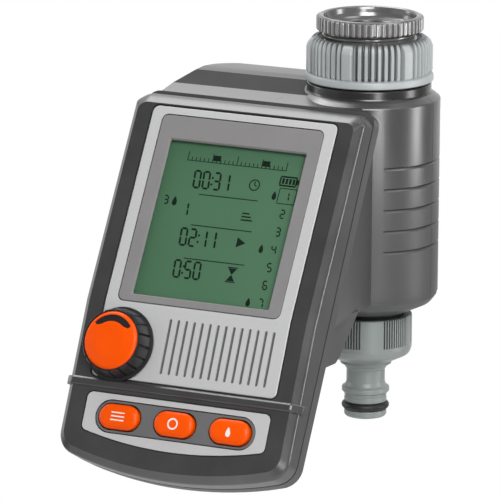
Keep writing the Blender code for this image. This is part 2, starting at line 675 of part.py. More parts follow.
def build_shell(name, sign, seam):
    """One half of the housing: sign -1 is the front half, +1 the rear half."""
    levels = [(BODY_BASE_Z, 0.0), (PLATFORM_Z - SHOULDER_HEIGHT, 0.0), (PLATFORM_Z, SHOULDER_WIDTH)]
    shell = loft(name, [body_ring(z, inset, RUN_GAP) for z, inset in levels])
    tag = name + "_"
    collar_top = NUT_BASE_Z - COLLAR_GAP
    join(shell, rod(tag + "collar", COLLAR_RADIUS, PLATFORM_Z - HOUSING_WALL / 2, collar_top,
                    steps=SHOWN_STEPS))
    join(shell, turned(tag + "cone", [
        (0.0, BODY_BASE_Z + HOUSING_WALL / 2), (CYLINDER_RADIUS - SEAT_GAP, BODY_BASE_Z + HOUSING_WALL / 2),
        (CYLINDER_RADIUS - SEAT_GAP, BODY_BASE_Z - SEAT_GAP), (CONE_RADIUS, CONE_END_Z),
        (0.0, CONE_END_Z)], steps=SHOWN_STEPS))
    if sign < 0:
        join(shell, chin_prism(tag + "chin", 0.0))
        join(shell, prism(tag + "dock", unit_outline(0.0), -DOCK_THICKNESS, -SEAT_GAP / 2, seam))
    inner_levels = (FLOOR_Z, PLATFORM_Z - HOUSING_WALL)
    cut(shell, loft(tag + "hollow", [body_ring(z, HOUSING_WALL, DOCK_THICKNESS) for z in inner_levels]))
    if sign < 0:
        cut(shell, chin_prism(tag + "chin_hollow", HOUSING_WALL))
        pocket = BAY_WALL + RUN_GAP
        depth = bay_depth() + RUN_GAP
        join(shell, prism(tag + "pocket", bay_outline(pocket + POCKET_WALL), -depth - POCKET_WALL,
                          -DOCK_THICKNESS / 2, seam))
        cut(shell, prism(tag + "pocket_hollow", bay_outline(pocket), -depth, DOCK_THICKNESS, seam))
        cut(shell, prism(tag + "terminal_seat", terminal_outline(SEAT_GAP), -CONTACT_THICKNESS - 2 * SEAT_GAP,
                         DOCK_THICKNESS, seam))
        wire = rod(tag + "wire_hole", LEAD_RADIUS + SEAT_GAP, -2 * DOCK_THICKNESS, 0.0, seam, 12)
        wire.location = (0.0, -PIN_ROW, 0.0)
        cut(shell, wire)
    for x, z in shell_screw_places():
        wall_y = CYLINDER_RADIUS - HOUSING_WALL / 2
        if x > 0:
            wall_y = math.sqrt(CYLINDER_RADIUS ** 2 - (x + SHELL_BOSS_RADIUS) ** 2) - HOUSING_WALL / 2
        length = wall_y if sign > 0 else SHELL_BOSS_LENGTH
        boss = rod(tag + "boss", SHELL_BOSS_RADIUS, 0.0, length, steps=16)
        join(shell, lay_along(boss, (0.0, sign, 0.0), (x, 0.0, z)))
    for x, z in shell_screw_places():
        hole = screw_hole(tag + "screw_hole", SHELL_SCREW_RADIUS + SEAT_GAP, SHELL_SCREW_HEAD + RUN_GAP,
                          -SHELL_BOSS_LENGTH + SPLIT_GAP, shell_screw_seat() - SEAT_GAP, CYLINDER_RADIUS * 2)
        cut(shell, lay_along(hole, (0.0, 1.0, 0.0), (x, 0.0, z)))
    cut(shell, rod(tag + "nipple_hole", NIPPLE_RADIUS + RUN_GAP, PLATFORM_Z - 2 * HOUSING_WALL, 0.0))
    cut(shell, rod(tag + "spigot_hole", SPIGOT_RADIUS + RUN_GAP, CONE_END_Z - HOUSING_WALL,
                   BODY_BASE_Z + 2 * HOUSING_WALL))
    for i in range(GROOVE_COUNT):
        cut(shell, groove_cutter(tag + "groove", PLATFORM_Z - GROOVE_TOP - i * GROOVE_PITCH))
    far = CREASE_FORWARD * 3
    near = SPLIT_GAP / 2 if sign < 0 else -SPLIT_GAP / 2
    low_y, high_y = (-near, far) if sign < 0 else (-far, -near)
    cut(shell, block(tag + "other_half", (-far, low_y, -far), (far, high_y, far)))
    return finish(shell, (0.075, 0.078, 0.082), 0.42)


def shell_screw_seat():
    """Distance behind the split of the face that the shell screws' heads press on."""
    return SHELL_SCREW_LENGTH - SHELL_BOSS_LENGTH + SHELL_SCREW_RADIUS


def groove_cutter(name, z):
    """Shallow trough round part of the cylinder."""
    outline = arc((0.0, 0.0), CYLINDER_RADIUS + GROOVE_WIDTH, GROOVE_START, GROOVE_END, 14)
    outline += arc((0.0, 0.0), CYLINDER_RADIUS - GROOVE_DEPTH, GROOVE_END, GROOVE_START, 14)
    return prism(name, outline, z - GROOVE_WIDTH / 2, z + GROOVE_WIDTH / 2)


def build_shell_screws():
    profile = screw_profile(SHELL_SCREW_RADIUS, SHELL_SCREW_HEAD, SHELL_SCREW_HEAD * 0.7,
                            SHELL_SCREW_LENGTH)
    for i, (x, z) in enumerate(shell_screw_places()):
        screw = turned(f"shell_screw_{i + 1}", profile, steps=12)
        lay_along(screw, (0.0, 1.0, 0.0), (x, shell_screw_seat(), z))
        finish(screw, (0.55, 0.55, 0.56), 0.3, 1.0)


# Valve block and solenoid; the valve's own axis runs to the left, along -X
LEFT = (-1.0, 0.0, 0.0)


def build_valve_block():
    foot_z = FLOOR_Z + SEAT_GAP
    socket = NIPPLE_THREAD_RADIUS + SEAT_GAP
    socket_end = NIPPLE_SHOULDER_Z - NIPPLE_THREAD_LENGTH - SEAT_GAP
    seal_z = BLOCK_TOP_Z - SEAL_THICKNESS - SEAT_GAP
    block_obj = turned("valve_block", [
        (0.0, BLOCK_TOP_Z), (BLOCK_TOP_RADIUS, BLOCK_TOP_Z),
        (BLOCK_TOP_RADIUS, BLOCK_TOP_Z - BLOCK_TOP_HEIGHT), (BLOCK_RADIUS, BLOCK_TOP_Z - BLOCK_TOP_HEIGHT),
        (BLOCK_RADIUS, foot_z + BLOCK_FOOT_HEIGHT), (BLOCK_FOOT_RADIUS, foot_z + BLOCK_FOOT_HEIGHT),
        (BLOCK_FOOT_RADIUS, foot_z), (SPIGOT_RADIUS, foot_z), (SPIGOT_RADIUS, SPIGOT_END_Z),
        (0.0, SPIGOT_END_Z)])
    centre = (0.0, 0.0, VALVE_Z)
    join(block_obj, lay_along(rod("valve_boss", BOSS_RADIUS, 0.0, BOSS_REACH), LEFT, centre))
    seat_top = SEAT_RADIUS + SEAT_WALL
    inlet_end = VALVE_Z + seat_top
    cut(block_obj, turned("inlet_passage", [
        (0.0, BLOCK_TOP_Z + SEAL_THICKNESS), (NIPPLE_RADIUS, BLOCK_TOP_Z + SEAL_THICKNESS),
        (NIPPLE_RADIUS, seal_z), (socket, seal_z), (socket, socket_end), (PASSAGE_RADIUS, socket_end),
        (PASSAGE_RADIUS, inlet_end), (0.0, inlet_end)]))
    cut(block_obj, rod("outlet_passage", PASSAGE_RADIUS, SPIGOT_END_Z - HOUSING_WALL, VALVE_Z))
    seat_bore = rod("seat_bore", SEAT_RADIUS, -SEAT_WALL, BOSS_REACH + SEAT_WALL)
    cut(block_obj, lay_along(seat_bore, LEFT, centre))
    chamber = tube_ring("chamber", CHAMBER_RADIUS, seat_top, BOSS_REACH - CHAMBER_DEPTH,
                        BOSS_REACH + SEAT_WALL)
    cut(block_obj, lay_along(chamber, LEFT, centre))
    port_z = inlet_end + PORT_RADIUS + SEAT_GAP
    port = rod("port", PORT_RADIUS, 0.0, BOSS_REACH - CHAMBER_DEPTH / 2, steps=16)
    cut(block_obj, lay_along(port, LEFT, (0.0, 0.0, port_z)))
    for y, z in bonnet_screw_places():
        hole = rod("boss_screw_hole", BONNET_SCREW_RADIUS + SEAT_GAP,
                   BOSS_REACH - BONNET_SCREW_LENGTH - SEAT_GAP, BOSS_REACH + SEAT_WALL, steps=10)
        cut(block_obj, lay_along(hole, LEFT, (0.0, y, z)))
    finish(block_obj, (0.06, 0.06, 0.065), 0.5)


def bonnet_screw_places():
    reach = BONNET_SCREW_CIRCLE / math.sqrt(2.0)
    return [(y, VALVE_Z + z) for y in (-reach, reach) for z in (-reach, reach)]


def build_bonnet_group():
    face = BOSS_REACH + SEAT_GAP
    recess = face + DIAPHRAGM_THICKNESS + SEAT_GAP
    back = face + BONNET_THICKNESS
    plunger_high = recess + PLUNGER_LENGTH
    guide_floor = plunger_high + SPRING_LENGTH + 2 * SEAT_GAP
    guide_end = guide_floor + HOUSING_WALL
    centre = (0.0, 0.0, VALVE_Z)
    bonnet = lay_along(turned("valve_bonnet", [
        (0.0, guide_end), (GUIDE_RADIUS, guide_end), (GUIDE_RADIUS, back), (BOSS_RADIUS, back),
        (BOSS_RADIUS, face), (DIAPHRAGM_RADIUS + SEAT_GAP, face), (DIAPHRAGM_RADIUS + SEAT_GAP, recess),
        (GUIDE_BORE, recess), (GUIDE_BORE, guide_floor), (0.0, guide_floor)]), LEFT, centre)
    for i, (y, z) in enumerate(bonnet_screw_places()):
        hole = rod("bonnet_screw_hole", BONNET_SCREW_RADIUS + SEAT_GAP, BOSS_REACH - SEAT_WALL,
                   back + SEAT_WALL, steps=10)
        cut(bonnet, lay_along(hole, LEFT, (0.0, y, z)))
        profile = screw_profile(BONNET_SCREW_RADIUS, BONNET_SCREW_HEAD, BONNET_SCREW_HEAD * 0.8,
                                BONNET_SCREW_LENGTH + BONNET_THICKNESS)
        screw = turned(f"bonnet_screw_{i + 1}", profile, steps=10)
        finish(lay_along(screw, LEFT, (-back - SEAT_GAP, y, z)), (0.55, 0.55, 0.56), 0.3, 1.0)
    finish(bonnet, (0.06, 0.06, 0.065), 0.5)
    disc = lay_along(rod("diaphragm", DIAPHRAGM_RADIUS, face, face + DIAPHRAGM_THICKNESS), LEFT, centre)
    finish(disc, (0.03, 0.03, 0.03), 0.8)
    plunger = rod("solenoid_plunger", GUIDE_BORE - SEAT_GAP, recess, plunger_high)
    finish(lay_along(plunger, LEFT, centre), (0.55, 0.55, 0.56), 0.3, 1.0)
    build_spring(plunger_high + SEAT_GAP, guide_floor - SEAT_GAP)
    front = back + BONNET_SCREW_HEAD + SEAT_GAP
    coil_low = front + YOKE_THICKNESS + SEAT_GAP
    coil_high = coil_low + COIL_LENGTH
    coil = tube_ring("solenoid_coil", COIL_RADIUS, GUIDE_RADIUS + SEAT_GAP, coil_low, coil_high)
    finish(lay_along(coil, LEFT, centre), (0.35, 0.13, 0.05), 0.45)
    build_yoke(front, coil_high + SEAT_GAP + YOKE_THICKNESS)
    return coil_low, coil_high


def build_spring(low, high):
    """Return spring behind the plunger, one unbroken wire."""
    per_turn = 9
    radius = GUIDE_BORE - SEAT_GAP - 2 * SPRING_WIRE
    count = SPRING_TURNS * per_turn
    span = high - low - 2 * SPRING_WIRE
    path = []
    for i in range(count + 1):
        angle = 2 * math.pi * i / per_turn
        along = low + SPRING_WIRE + span * i / count
        path.append(Vector((-along, radius * math.cos(angle), VALVE_Z + radius * math.sin(angle))))
    spring = add_wire("plunger_spring", path, SPRING_WIRE, 1)
    half = per_turn // 2
    spaces = [(a - b).length for i, a in enumerate(path) for b in path[i + half + 1:]]
    least = min(spaces) - 2 * SPRING_WIRE
    print(f"plunger_spring least gap between turns: {least * 1000:.2f} mm")
    finish(spring, (0.55, 0.55, 0.56), 0.3, 1.0)


def add_wire(name, path, radius, resolution):
    curve = bpy.data.curves.new(name, "CURVE")
    curve.dimensions = "3D"
    curve.bevel_depth = radius
    curve.bevel_resolution = resolution
    curve.use_fill_caps = True
    spline = curve.splines.new("POLY")
    spline.points.add(len(path) - 1)
    for point, place in zip(spline.points, path):
        point.co = (*place, 1.0)
    return add_object(name, curve)


def build_yoke(front, back):
    half = COIL_RADIUS + SEAT_GAP
    rear = half + YOKE_THICKNESS
    yoke = block("solenoid_yoke", (-back, -half, VALVE_Z - half), (-front, rear, VALVE_Z + half))
    cut(yoke, block("yoke_gap", (-back + YOKE_THICKNESS, -2 * half, VALVE_Z - 2 * half),
                    (-front - YOKE_THICKNESS, half, VALVE_Z + 2 * half)))
    hole = rod("yoke_hole", GUIDE_RADIUS + SEAT_GAP, 0.0, 2 * back)
    cut(yoke, lay_along(hole, LEFT, (0.0, 0.0, VALVE_Z)))
    finish(yoke, (0.42, 0.42, 0.43), 0.4, 1.0)


def smooth_path(points, steps=5):
    """Catmull-Rom curve through a few chosen points."""
    path = []
    ends = [points[0] * 2 - points[1]] + points + [points[-1] * 2 - points[-2]]
    for a, b, c, d in zip(ends, ends[1:], ends[2:], ends[3:]):
        for i in range(steps):
            t = i / steps
            path.append(0.5 * (2 * b + (c - a) * t + (2 * a - 5 * b + 4 * c - d) * t ** 2
                               + (3 * b - 3 * c + d - a) * t ** 3))
    return path + [points[-1]]


def build_solenoid_lead(coil_middle):
    """Two-core lead from the coil, down beside the battery pocket, to the back of the dock terminal."""
    half, low, _ = battery_box()
    wall = BAY_WALL + RUN_GAP + POCKET_WALL
    foot, back = low - wall, bay_depth() + RUN_GAP + POCKET_WALL
    start = Vector((-coil_middle, -COIL_RADIUS - LEAD_RADIUS - SEAT_GAP, VALVE_Z))
    route = [start, start + Vector((0.0, -LEAD_SLACK / 2, -LEAD_SLACK))]
    beside = half + wall + LEAD_SIDE
    for side, row, depth in (
            (beside, foot + LEAD_RISE, back + LEAD_BEHIND), (beside, foot + LEAD_TURN, back - LEAD_TURN),
            (half + wall, LEAD_TURN - PIN_ROW, DOCK_THICKNESS * 2), (0.0, -PIN_ROW, DOCK_THICKNESS * 1.6),
            (0.0, -PIN_ROW, DOCK_THICKNESS), (0.0, -PIN_ROW, CONTACT_THICKNESS + 3 * SEAT_GAP)):
        route.append(Vector((PANEL_X - side, *seam_point(row, -depth))))
    finish(add_wire("solenoid_lead", smooth_path(route), LEAD_RADIUS, 1), (0.02, 0.02, 0.02), 0.6)


# Outlet group
def grip_outline():
    """Ribbed round of the connector's nut, with a wide and a narrow plain strip on each side."""
    sector = 2 * math.pi / CONNECTOR_SIDES
    zone = (sector - CONNECTOR_WIDE_STRIP - CONNECTOR_NARROW_STRIP) / 2
    pitch = zone / CONNECTOR_RIB_COUNT
    places = []
    for i in range(CONNECTOR_SIDES):
        angle = CONNECTOR_PHASE + i * sector
        for strip in (CONNECTOR_WIDE_STRIP, CONNECTOR_NARROW_STRIP):
            places += [(angle, 0.0), (angle + strip / 2, 0.0), (angle + strip, 0.0)]
            angle += strip
            for k in range(CONNECTOR_RIB_COUNT):
                places.append((angle + pitch * (k + 0.5), CONNECTOR_RIB_DEPTH))
                if k < CONNECTOR_RIB_COUNT - 1:
                    places.append((angle + pitch * (k + 1), 0.0))
            angle += zone
    return [((CONNECTOR_RADIUS - depth) * math.cos(angle), (CONNECTOR_RADIUS - depth) * math.sin(angle))
            for angle, depth in places]


def build_outlet():
    bore = SPIGOT_RADIUS + RUN_GAP
    nut_end = CONNECTOR_TOP_Z - CONNECTOR_NUT_HEIGHT
    waist_z = nut_end - CONNECTOR_TAPER
    neck_z = waist_z - CONNECTOR_WAIST + CONNECTOR_NECK_RADIUS
    collar_z = waist_z - CONNECTOR_NECK
    barrel_z = collar_z - CONNECTOR_COLLAR
    groove_z = barrel_z - CONNECTOR_BARREL
    tip_z = groove_z - 2 * ORING_RADIUS
    end_z = tip_z - CONNECTOR_TIP
    groove = CONNECTOR_NOSE_RADIUS - 2 * ORING_RADIUS + ORING_SINK / 2
    washer_z = SPIGOT_END_Z - SEAT_GAP - WASHER_THICKNESS
    shoulder_z = washer_z - SEAT_GAP
    root = CONNECTOR_RADIUS - 2 * CONNECTOR_RIB_DEPTH
    connector = turned("outlet_connector", [
        (0.0, nut_end + CONNECTOR_TAPER), (root, nut_end + CONNECTOR_TAPER), (root, nut_end),
        (CONNECTOR_RADIUS * 0.8, waist_z + CONNECTOR_TAPER * 0.3),
        (CONNECTOR_WAIST, waist_z), (CONNECTOR_WAIST, waist_z - CONNECTOR_COLLAR),
        (CONNECTOR_NECK_RADIUS, neck_z - CONNECTOR_COLLAR), (CONNECTOR_NECK_RADIUS, collar_z),
        (CONNECTOR_COLLAR_RADIUS, collar_z), (CONNECTOR_COLLAR_RADIUS, barrel_z),
        (CONNECTOR_NOSE_RADIUS, barrel_z), (CONNECTOR_NOSE_RADIUS, groove_z), (groove, groove_z),
        (groove, tip_z), (CONNECTOR_NOSE_RADIUS, tip_z),
        (CONNECTOR_NOSE_RADIUS, tip_z - CONNECTOR_TIP / 3), (CONNECTOR_NOSE_RADIUS * 0.8, end_z),
        (0.0, end_z)], steps=SHOWN_STEPS)
    join(connector, prism("connector_grip", grip_outline(), nut_end, CONNECTOR_TOP_Z))
    cut(connector, turned("connector_bore", [
        (0.0, CONNECTOR_TOP_Z + bore), (bore, CONNECTOR_TOP_Z + bore), (bore, shoulder_z),
        (CONNECTOR_BORE, shoulder_z), (CONNECTOR_BORE, end_z - bore), (0.0, end_z - bore)]))
    finish(connector, (0.36, 0.40, 0.38), 0.45)
    minor = ORING_RADIUS - SEAT_GAP / 2
    middle = (groove + SEAT_GAP + minor, (groove_z + tip_z) / 2)
    profile = arc(middle, minor, 2 * math.pi, math.pi / 4, 7)
    finish(turned("connector_oring", profile, bore=True), (0.012, 0.012, 0.012), 0.5)
    washer = tube_ring("outlet_washer", bore - SEAT_GAP, PASSAGE_RADIUS, washer_z,
                       washer_z + WASHER_THICKNESS)
    finish(washer, (0.02, 0.02, 0.02), 0.8)


# Control unit
def cover_boss_places():
    return [(x, y) for x in (-COVER_BOSS_X, COVER_BOSS_X) for y in (-COVER_BOSS_BOTTOM, COVER_BOSS_TOP)]


def key_places():
    return [(-KEY_SPACING, -KEY_ROW), (0.0, -KEY_ROW), (KEY_SPACING, -KEY_ROW)]


def faceplate_outline(margin):
    low, high = -FACEPLATE_BOTTOM - margin, FACEPLATE_TOP + margin
    half, radius = FACEPLATE_HALF_WIDTH + margin, PLATE_CORNER + margin
    return rounded([(-half, low, radius), (half, low, radius), (half, 0.0, 0.0), (half, high, radius),
                    (-half, high, radius), (-half, 0.0, 0.0)])


def key_plate_outline(margin):
    return arched_outline(KEY_PLATE_HALF_WIDTH + margin, -KEY_PLATE_TOP + margin, KEY_PLATE_BOTTOM + margin,
                          UNIT_BOTTOM_ARC, PLATE_CORNER + margin, PLATE_CORNER + margin, crease=False)


def display_outline(margin):
    return rectangle(DISPLAY_HALF_WIDTH + margin, DISPLAY_BOTTOM - margin, DISPLAY_TOP + margin,
                     DISPLAY_CORNER + margin)


def pocket_outline(margin):
    """Stepped inside of the display frame, which holds the window, the display and its holder."""
    grow = POCKET_MARGIN + margin
    return rectangle(VIEW_HALF_WIDTH + grow, VIEW_BOTTOM - grow / 2, VIEW_TOP + grow)


def key_hole(name, outline_margin, low, high, frame, x, y):
    outline = stadium(x, y, KEY_HALF_WIDTH + outline_margin, KEY_HALF_HEIGHT + outline_margin)
    return prism(name, outline, low, high, frame)


def build_front_cover(seam, display, keys):
    outer, edge = unit_outline(0.0), unit_outline(UNIT_BEVEL)
    rings = [[(x, y, SEAT_GAP / 2) for x, y in outer],
             [(x, y, front_z(y, UNIT_BEVEL)) for x, y in outer],
             [(x, y, front_z(y)) for x, y in edge]]
    cover = loft("control_front_cover", rings, seam, bent=True)
    half, shift = UNIT_HALF_WIDTH + BAR_PROUD / 2, UNIT_BEVEL + BAR_PROUD
    bar = [(-half, -shift * 1.5), (-half, BAR_PROUD - shift), (-half + shift, BAR_PROUD),
           (half - shift, BAR_PROUD), (half, BAR_PROUD - shift), (half, -shift * 1.5)]
    edges = (-BAR_TOP - BAR_HEIGHT, -BAR_TOP)
    join(cover, loft("trim_bar", [[(x, y, z) for x, z in bar] for y in edges], keys))
    hollow = unit_outline(COVER_WALL)
    cut(cover, loft("cover_hollow", [[(x, y, -DOCK_THICKNESS) for x, y in hollow],
                                     [(x, y, front_z(y, COVER_FRONT)) for x, y in hollow]], seam, bent=True))
    cut(cover, prism("cover_rim", unit_outline(RIM_WALL), -DOCK_THICKNESS, LEDGE_DEPTH, seam))
    boss_low = SEAT_GAP * 2 + BACK_PLATE_THICKNESS + SEAT_GAP
    for x, y in cover_boss_places():
        boss = rod("cover_boss", COVER_BOSS_RADIUS, boss_low, front_z(y, COVER_FRONT / 2), seam, 16)
        hole = rod("cover_boss_hole", COVER_SCREW_RADIUS + SEAT_GAP, 0.0, boss_low + COVER_SCREW_LENGTH,
                   seam, 12)
        boss.location = hole.location = (x, y, 0.0)
        join(cover, boss)
        cut(cover, hole)
    sink = PLATE_THICKNESS + SEAT_GAP - PLATE_PROUD
    cut(cover, folded_sheet("faceplate_seat", faceplate_outline(RUN_GAP), -BAR_PROUD * 2, sink, seam))
    cut(cover, prism("key_plate_seat", key_plate_outline(RUN_GAP), -sink, BAR_PROUD * 2, keys))
    cut(cover, prism("display_hole", display_outline(SEAT_GAP), -UNIT_THICKNESS / 2, BAR_PROUD * 2, display))
    pad = stadium(0.0, -KEY_ROW, PAD_HALF_WIDTH + SEAT_GAP, PAD_HALF_HEIGHT + SEAT_GAP)
    cut(cover, prism("pad_seat", pad, -PAD_THICKNESS - SEAT_GAP, BAR_PROUD * 2, keys))
    for x, y in key_places():
        cut(cover, key_hole("key_opening", SEAT_GAP, -UNIT_THICKNESS / 2, BAR_PROUD * 2, keys, x, y))
    shaft = rod("shaft_opening", SHAFT_RADIUS + RUN_GAP, -UNIT_THICKNESS / 2, BAR_PROUD * 2, keys)
    shaft.location = (KNOB_X, -KNOB_ROW, 0.0)
    cut(cover, shaft)
    finish(cover, (0.045, 0.045, 0.048), 0.4)


def build_plates(seam, display, keys):
    plate = folded_sheet("faceplate", faceplate_outline(0.0), -PLATE_PROUD, PLATE_THICKNESS - PLATE_PROUD,
                         seam)
    cut(plate, prism("faceplate_window", display_outline(SEAT_GAP), -BAR_PROUD * 2, BAR_PROUD * 2, display))
    shaft = rod("faceplate_shaft", SHAFT_RADIUS + RUN_GAP, -BAR_PROUD * 2, BAR_PROUD * 2, keys)
    shaft.location = (KNOB_X, -KNOB_ROW, 0.0)
    cut(plate, shaft)
    for i in range(SLOT_COUNT):
        x = SLOT_CENTRE + (i - (SLOT_COUNT - 1) / 2) * SLOT_PITCH
        cut(plate, block("grille_slot", (x - SLOT_WIDTH / 2, -SLOT_TOP - SLOT_LENGTH, -BAR_PROUD * 2),
                         (x + SLOT_WIDTH / 2, -SLOT_TOP, BAR_PROUD * 2), keys))
    finish(plate, (0.55, 0.56, 0.57), 0.35, 0.6)
    lower = prism("key_plate", key_plate_outline(0.0), PLATE_PROUD - PLATE_THICKNESS, PLATE_PROUD, keys)
    pad = stadium(0.0, -KEY_ROW, PAD_HALF_WIDTH + SEAT_GAP, PAD_HALF_HEIGHT + SEAT_GAP)
    cut(lower, prism("key_plate_window", pad, -BAR_PROUD * 2, BAR_PROUD * 2, keys))
    finish(lower, (0.55, 0.56, 0.57), 0.35, 0.6)
    pad = stadium(0.0, -KEY_ROW, PAD_HALF_WIDTH, PAD_HALF_HEIGHT)
    surround = prism("button_surround", pad, -PAD_THICKNESS, 0.0, keys)
    for x, y in key_places():
        cut(surround, key_hole("surround_opening", SEAT_GAP, -BAR_PROUD * 2, BAR_PROUD * 2, keys, x, y))
    finish(surround, (0.14, 0.14, 0.145), 0.5)


def build_display(display):
    frame = prism("display_frame", display_outline(0.0), -DISPLAY_DEPTH, PLATE_PROUD, display)
    view = rectangle(VIEW_HALF_WIDTH, VIEW_BOTTOM, VIEW_TOP)
    cut(frame, prism("display_view", view, -UNIT_THICKNESS, UNIT_THICKNESS, display))
    cut(frame, prism("display_pocket", pocket_outline(0.0), -UNIT_THICKNESS, -LIP_DEPTH, display))
    finish(frame, (0.24, 0.24, 0.245), 0.45)
    outline = pocket_outline(-SEAT_GAP)
    top = -LIP_DEPTH - SEAT_GAP
    window = prism("display_window", outline, top - WINDOW_THICKNESS, top, display)
    finish(window, (0.75, 0.85, 0.78), 0.08)
    top -= WINDOW_THICKNESS + SEAT_GAP
    panel = prism("lcd_panel", outline, top - LCD_THICKNESS, top, display)
    finish(panel, (0.09, 0.21, 0.11), 0.3)
    top -= LCD_THICKNESS + SEAT_GAP
    holder = prism("lcd_holder", outline, top - HOLDER_THICKNESS, top, display)
    finish(holder, (0.70, 0.70, 0.68), 0.5)


def board_top():
    """Height of the circuit board's upper face above the seam plane."""
    return SEAT_GAP * 2 + BACK_PLATE_THICKNESS + 2 * SEAT_GAP + BOARD_THICKNESS


def mat_top():
    """Height of the button mat's upper face above the seam plane."""
    return board_top() + SEAT_GAP + MAT_THICKNESS


def build_back_cover(seam):
    low = SEAT_GAP
    high = low + BACK_PLATE_THICKNESS
    plate = prism("control_back_cover", unit_outline(RIM_WALL + SEAT_GAP), low, high, seam)
    join(plate, prism("battery_bay", bay_outline(BAY_WALL), -bay_depth(), high - SEAT_GAP, seam))
    cut(plate, prism("battery_space", bay_outline(0.0), -2 * bay_depth(), low + SEAT_GAP, seam))
    for x, y in cover_boss_places():
        seat = high - COVER_SCREW_RADIUS + SEAT_GAP
        hole = screw_hole("back_screw_hole", COVER_SCREW_RADIUS + SEAT_GAP, COVER_SCREW_HEAD + SEAT_GAP,
                          -DOCK_THICKNESS, -seat, DOCK_THICKNESS, seam)
        hole.rotation_euler = (math.pi, 0.0, 0.0)
        hole.location = (x, y, 0.0)
        cut(plate, hole)
    cut(plate, prism("header_slot", header_outline(SEAT_GAP), -DOCK_THICKNESS, DOCK_THICKNESS, seam))
    for x in (-1, 1):
        cut(plate, snap_blade("blade_slot", x, SEAT_GAP, seam))
    finish(plate, (0.05, 0.05, 0.053), 0.5)
    gasket_low = high + SEAT_GAP
    gasket = prism("cover_gasket", unit_outline(RIM_WALL + SEAT_GAP), gasket_low, gasket_low + GASKET_HEIGHT,
                   seam)
    cut(gasket, prism("gasket_hole", unit_outline(COVER_WALL - SEAT_GAP / 2), 0.0, UNIT_THICKNESS, seam))
    finish(gasket, (0.02, 0.02, 0.02), 0.8)
    profile = screw_profile(COVER_SCREW_RADIUS, COVER_SCREW_HEAD, COVER_SCREW_RADIUS * 0.7,
                            COVER_SCREW_LENGTH)
    for i, (x, y) in enumerate(cover_boss_places()):
        screw = turned(f"cover_screw_{i + 1}", profile, seam, 10)
        screw.rotation_euler = (math.pi, 0.0, 0.0)
        screw.location = (x, y, high - COVER_SCREW_RADIUS)
        finish(screw, (0.55, 0.55, 0.56), 0.3, 1.0)


def snap_blade(name, side, margin, seam):
    """Flat terminal that carries the battery's current through the back plate to the board."""
    half, _, high = battery_box()
    x = side * half / 2
    y = high - SNAP_LENGTH / 2
    grow = PIN_RADIUS + margin
    top = board_top() - BOARD_THICKNESS - SEAT_GAP + margin * 2
    return block(name, (x - grow * 1.5, y - grow / 2, -BATTERY_DEPTH / 2),
                 (x + grow * 1.5, y + grow / 2, top), seam)


def build_battery(seam):
    half, low, high = battery_box()
    back, front = -BATTERY_DEPTH, 0.0
    outline = rectangle(BATTERY_WIDTH / 2, low + RUN_GAP, low + RUN_GAP + BATTERY_LENGTH)
    battery = prism("battery", outline, back, front, seam)
    finish(battery, (0.10, 0.10, 0.12), 0.35, 0.4)
    snap = block("battery_snap", (-half + RUN_GAP, high - RUN_GAP - SNAP_LENGTH, back),
                 (half - RUN_GAP, high - RUN_GAP, front), seam)
    for x in (-1, 1):
        join(snap, snap_blade("snap_blade", x, 0.0, seam))
    finish(snap, (0.02, 0.02, 0.02), 0.6)


def build_electronics(seam, keys):
    top = board_top()
    outline = rectangle(BOARD_HALF_WIDTH, -BOARD_BOTTOM, BOARD_TOP)
    board = prism("circuit_board", outline, top - BOARD_THICKNESS, top, seam)
    finish(board, (0.03, 0.16, 0.06), 0.4)
    mat_outline = rectangle(PAD_HALF_WIDTH, -KEY_ROW - PAD_HALF_HEIGHT, -KEY_ROW + PAD_HALF_HEIGHT)
    mat = prism("button_mat", mat_outline, top + SEAT_GAP, mat_top(), seam)
    finish(mat, (0.30, 0.31, 0.32), 0.7)
    half = ENCODER_SIZE / 2
    depth = front_z(-KNOB_ROW - half) - top - SEAT_GAP
    encoder = block("encoder_body", (KNOB_X - half, -KNOB_ROW - half, -depth),
                    (KNOB_X + half, -KNOB_ROW + half, -ENCODER_TOP), keys)
    finish(encoder, (0.16, 0.16, 0.17), 0.4, 0.5)
    terminal = prism("dock_terminal", terminal_outline(0.0), -CONTACT_THICKNESS - SEAT_GAP, -SEAT_GAP, seam)
    finish(terminal, (0.75, 0.58, 0.25), 0.3, 1.0)
    header = prism("contact_header", header_outline(0.0), 0.0, top - BOARD_THICKNESS - SEAT_GAP, seam)
    finish(header, (0.75, 0.58, 0.25), 0.3, 1.0)


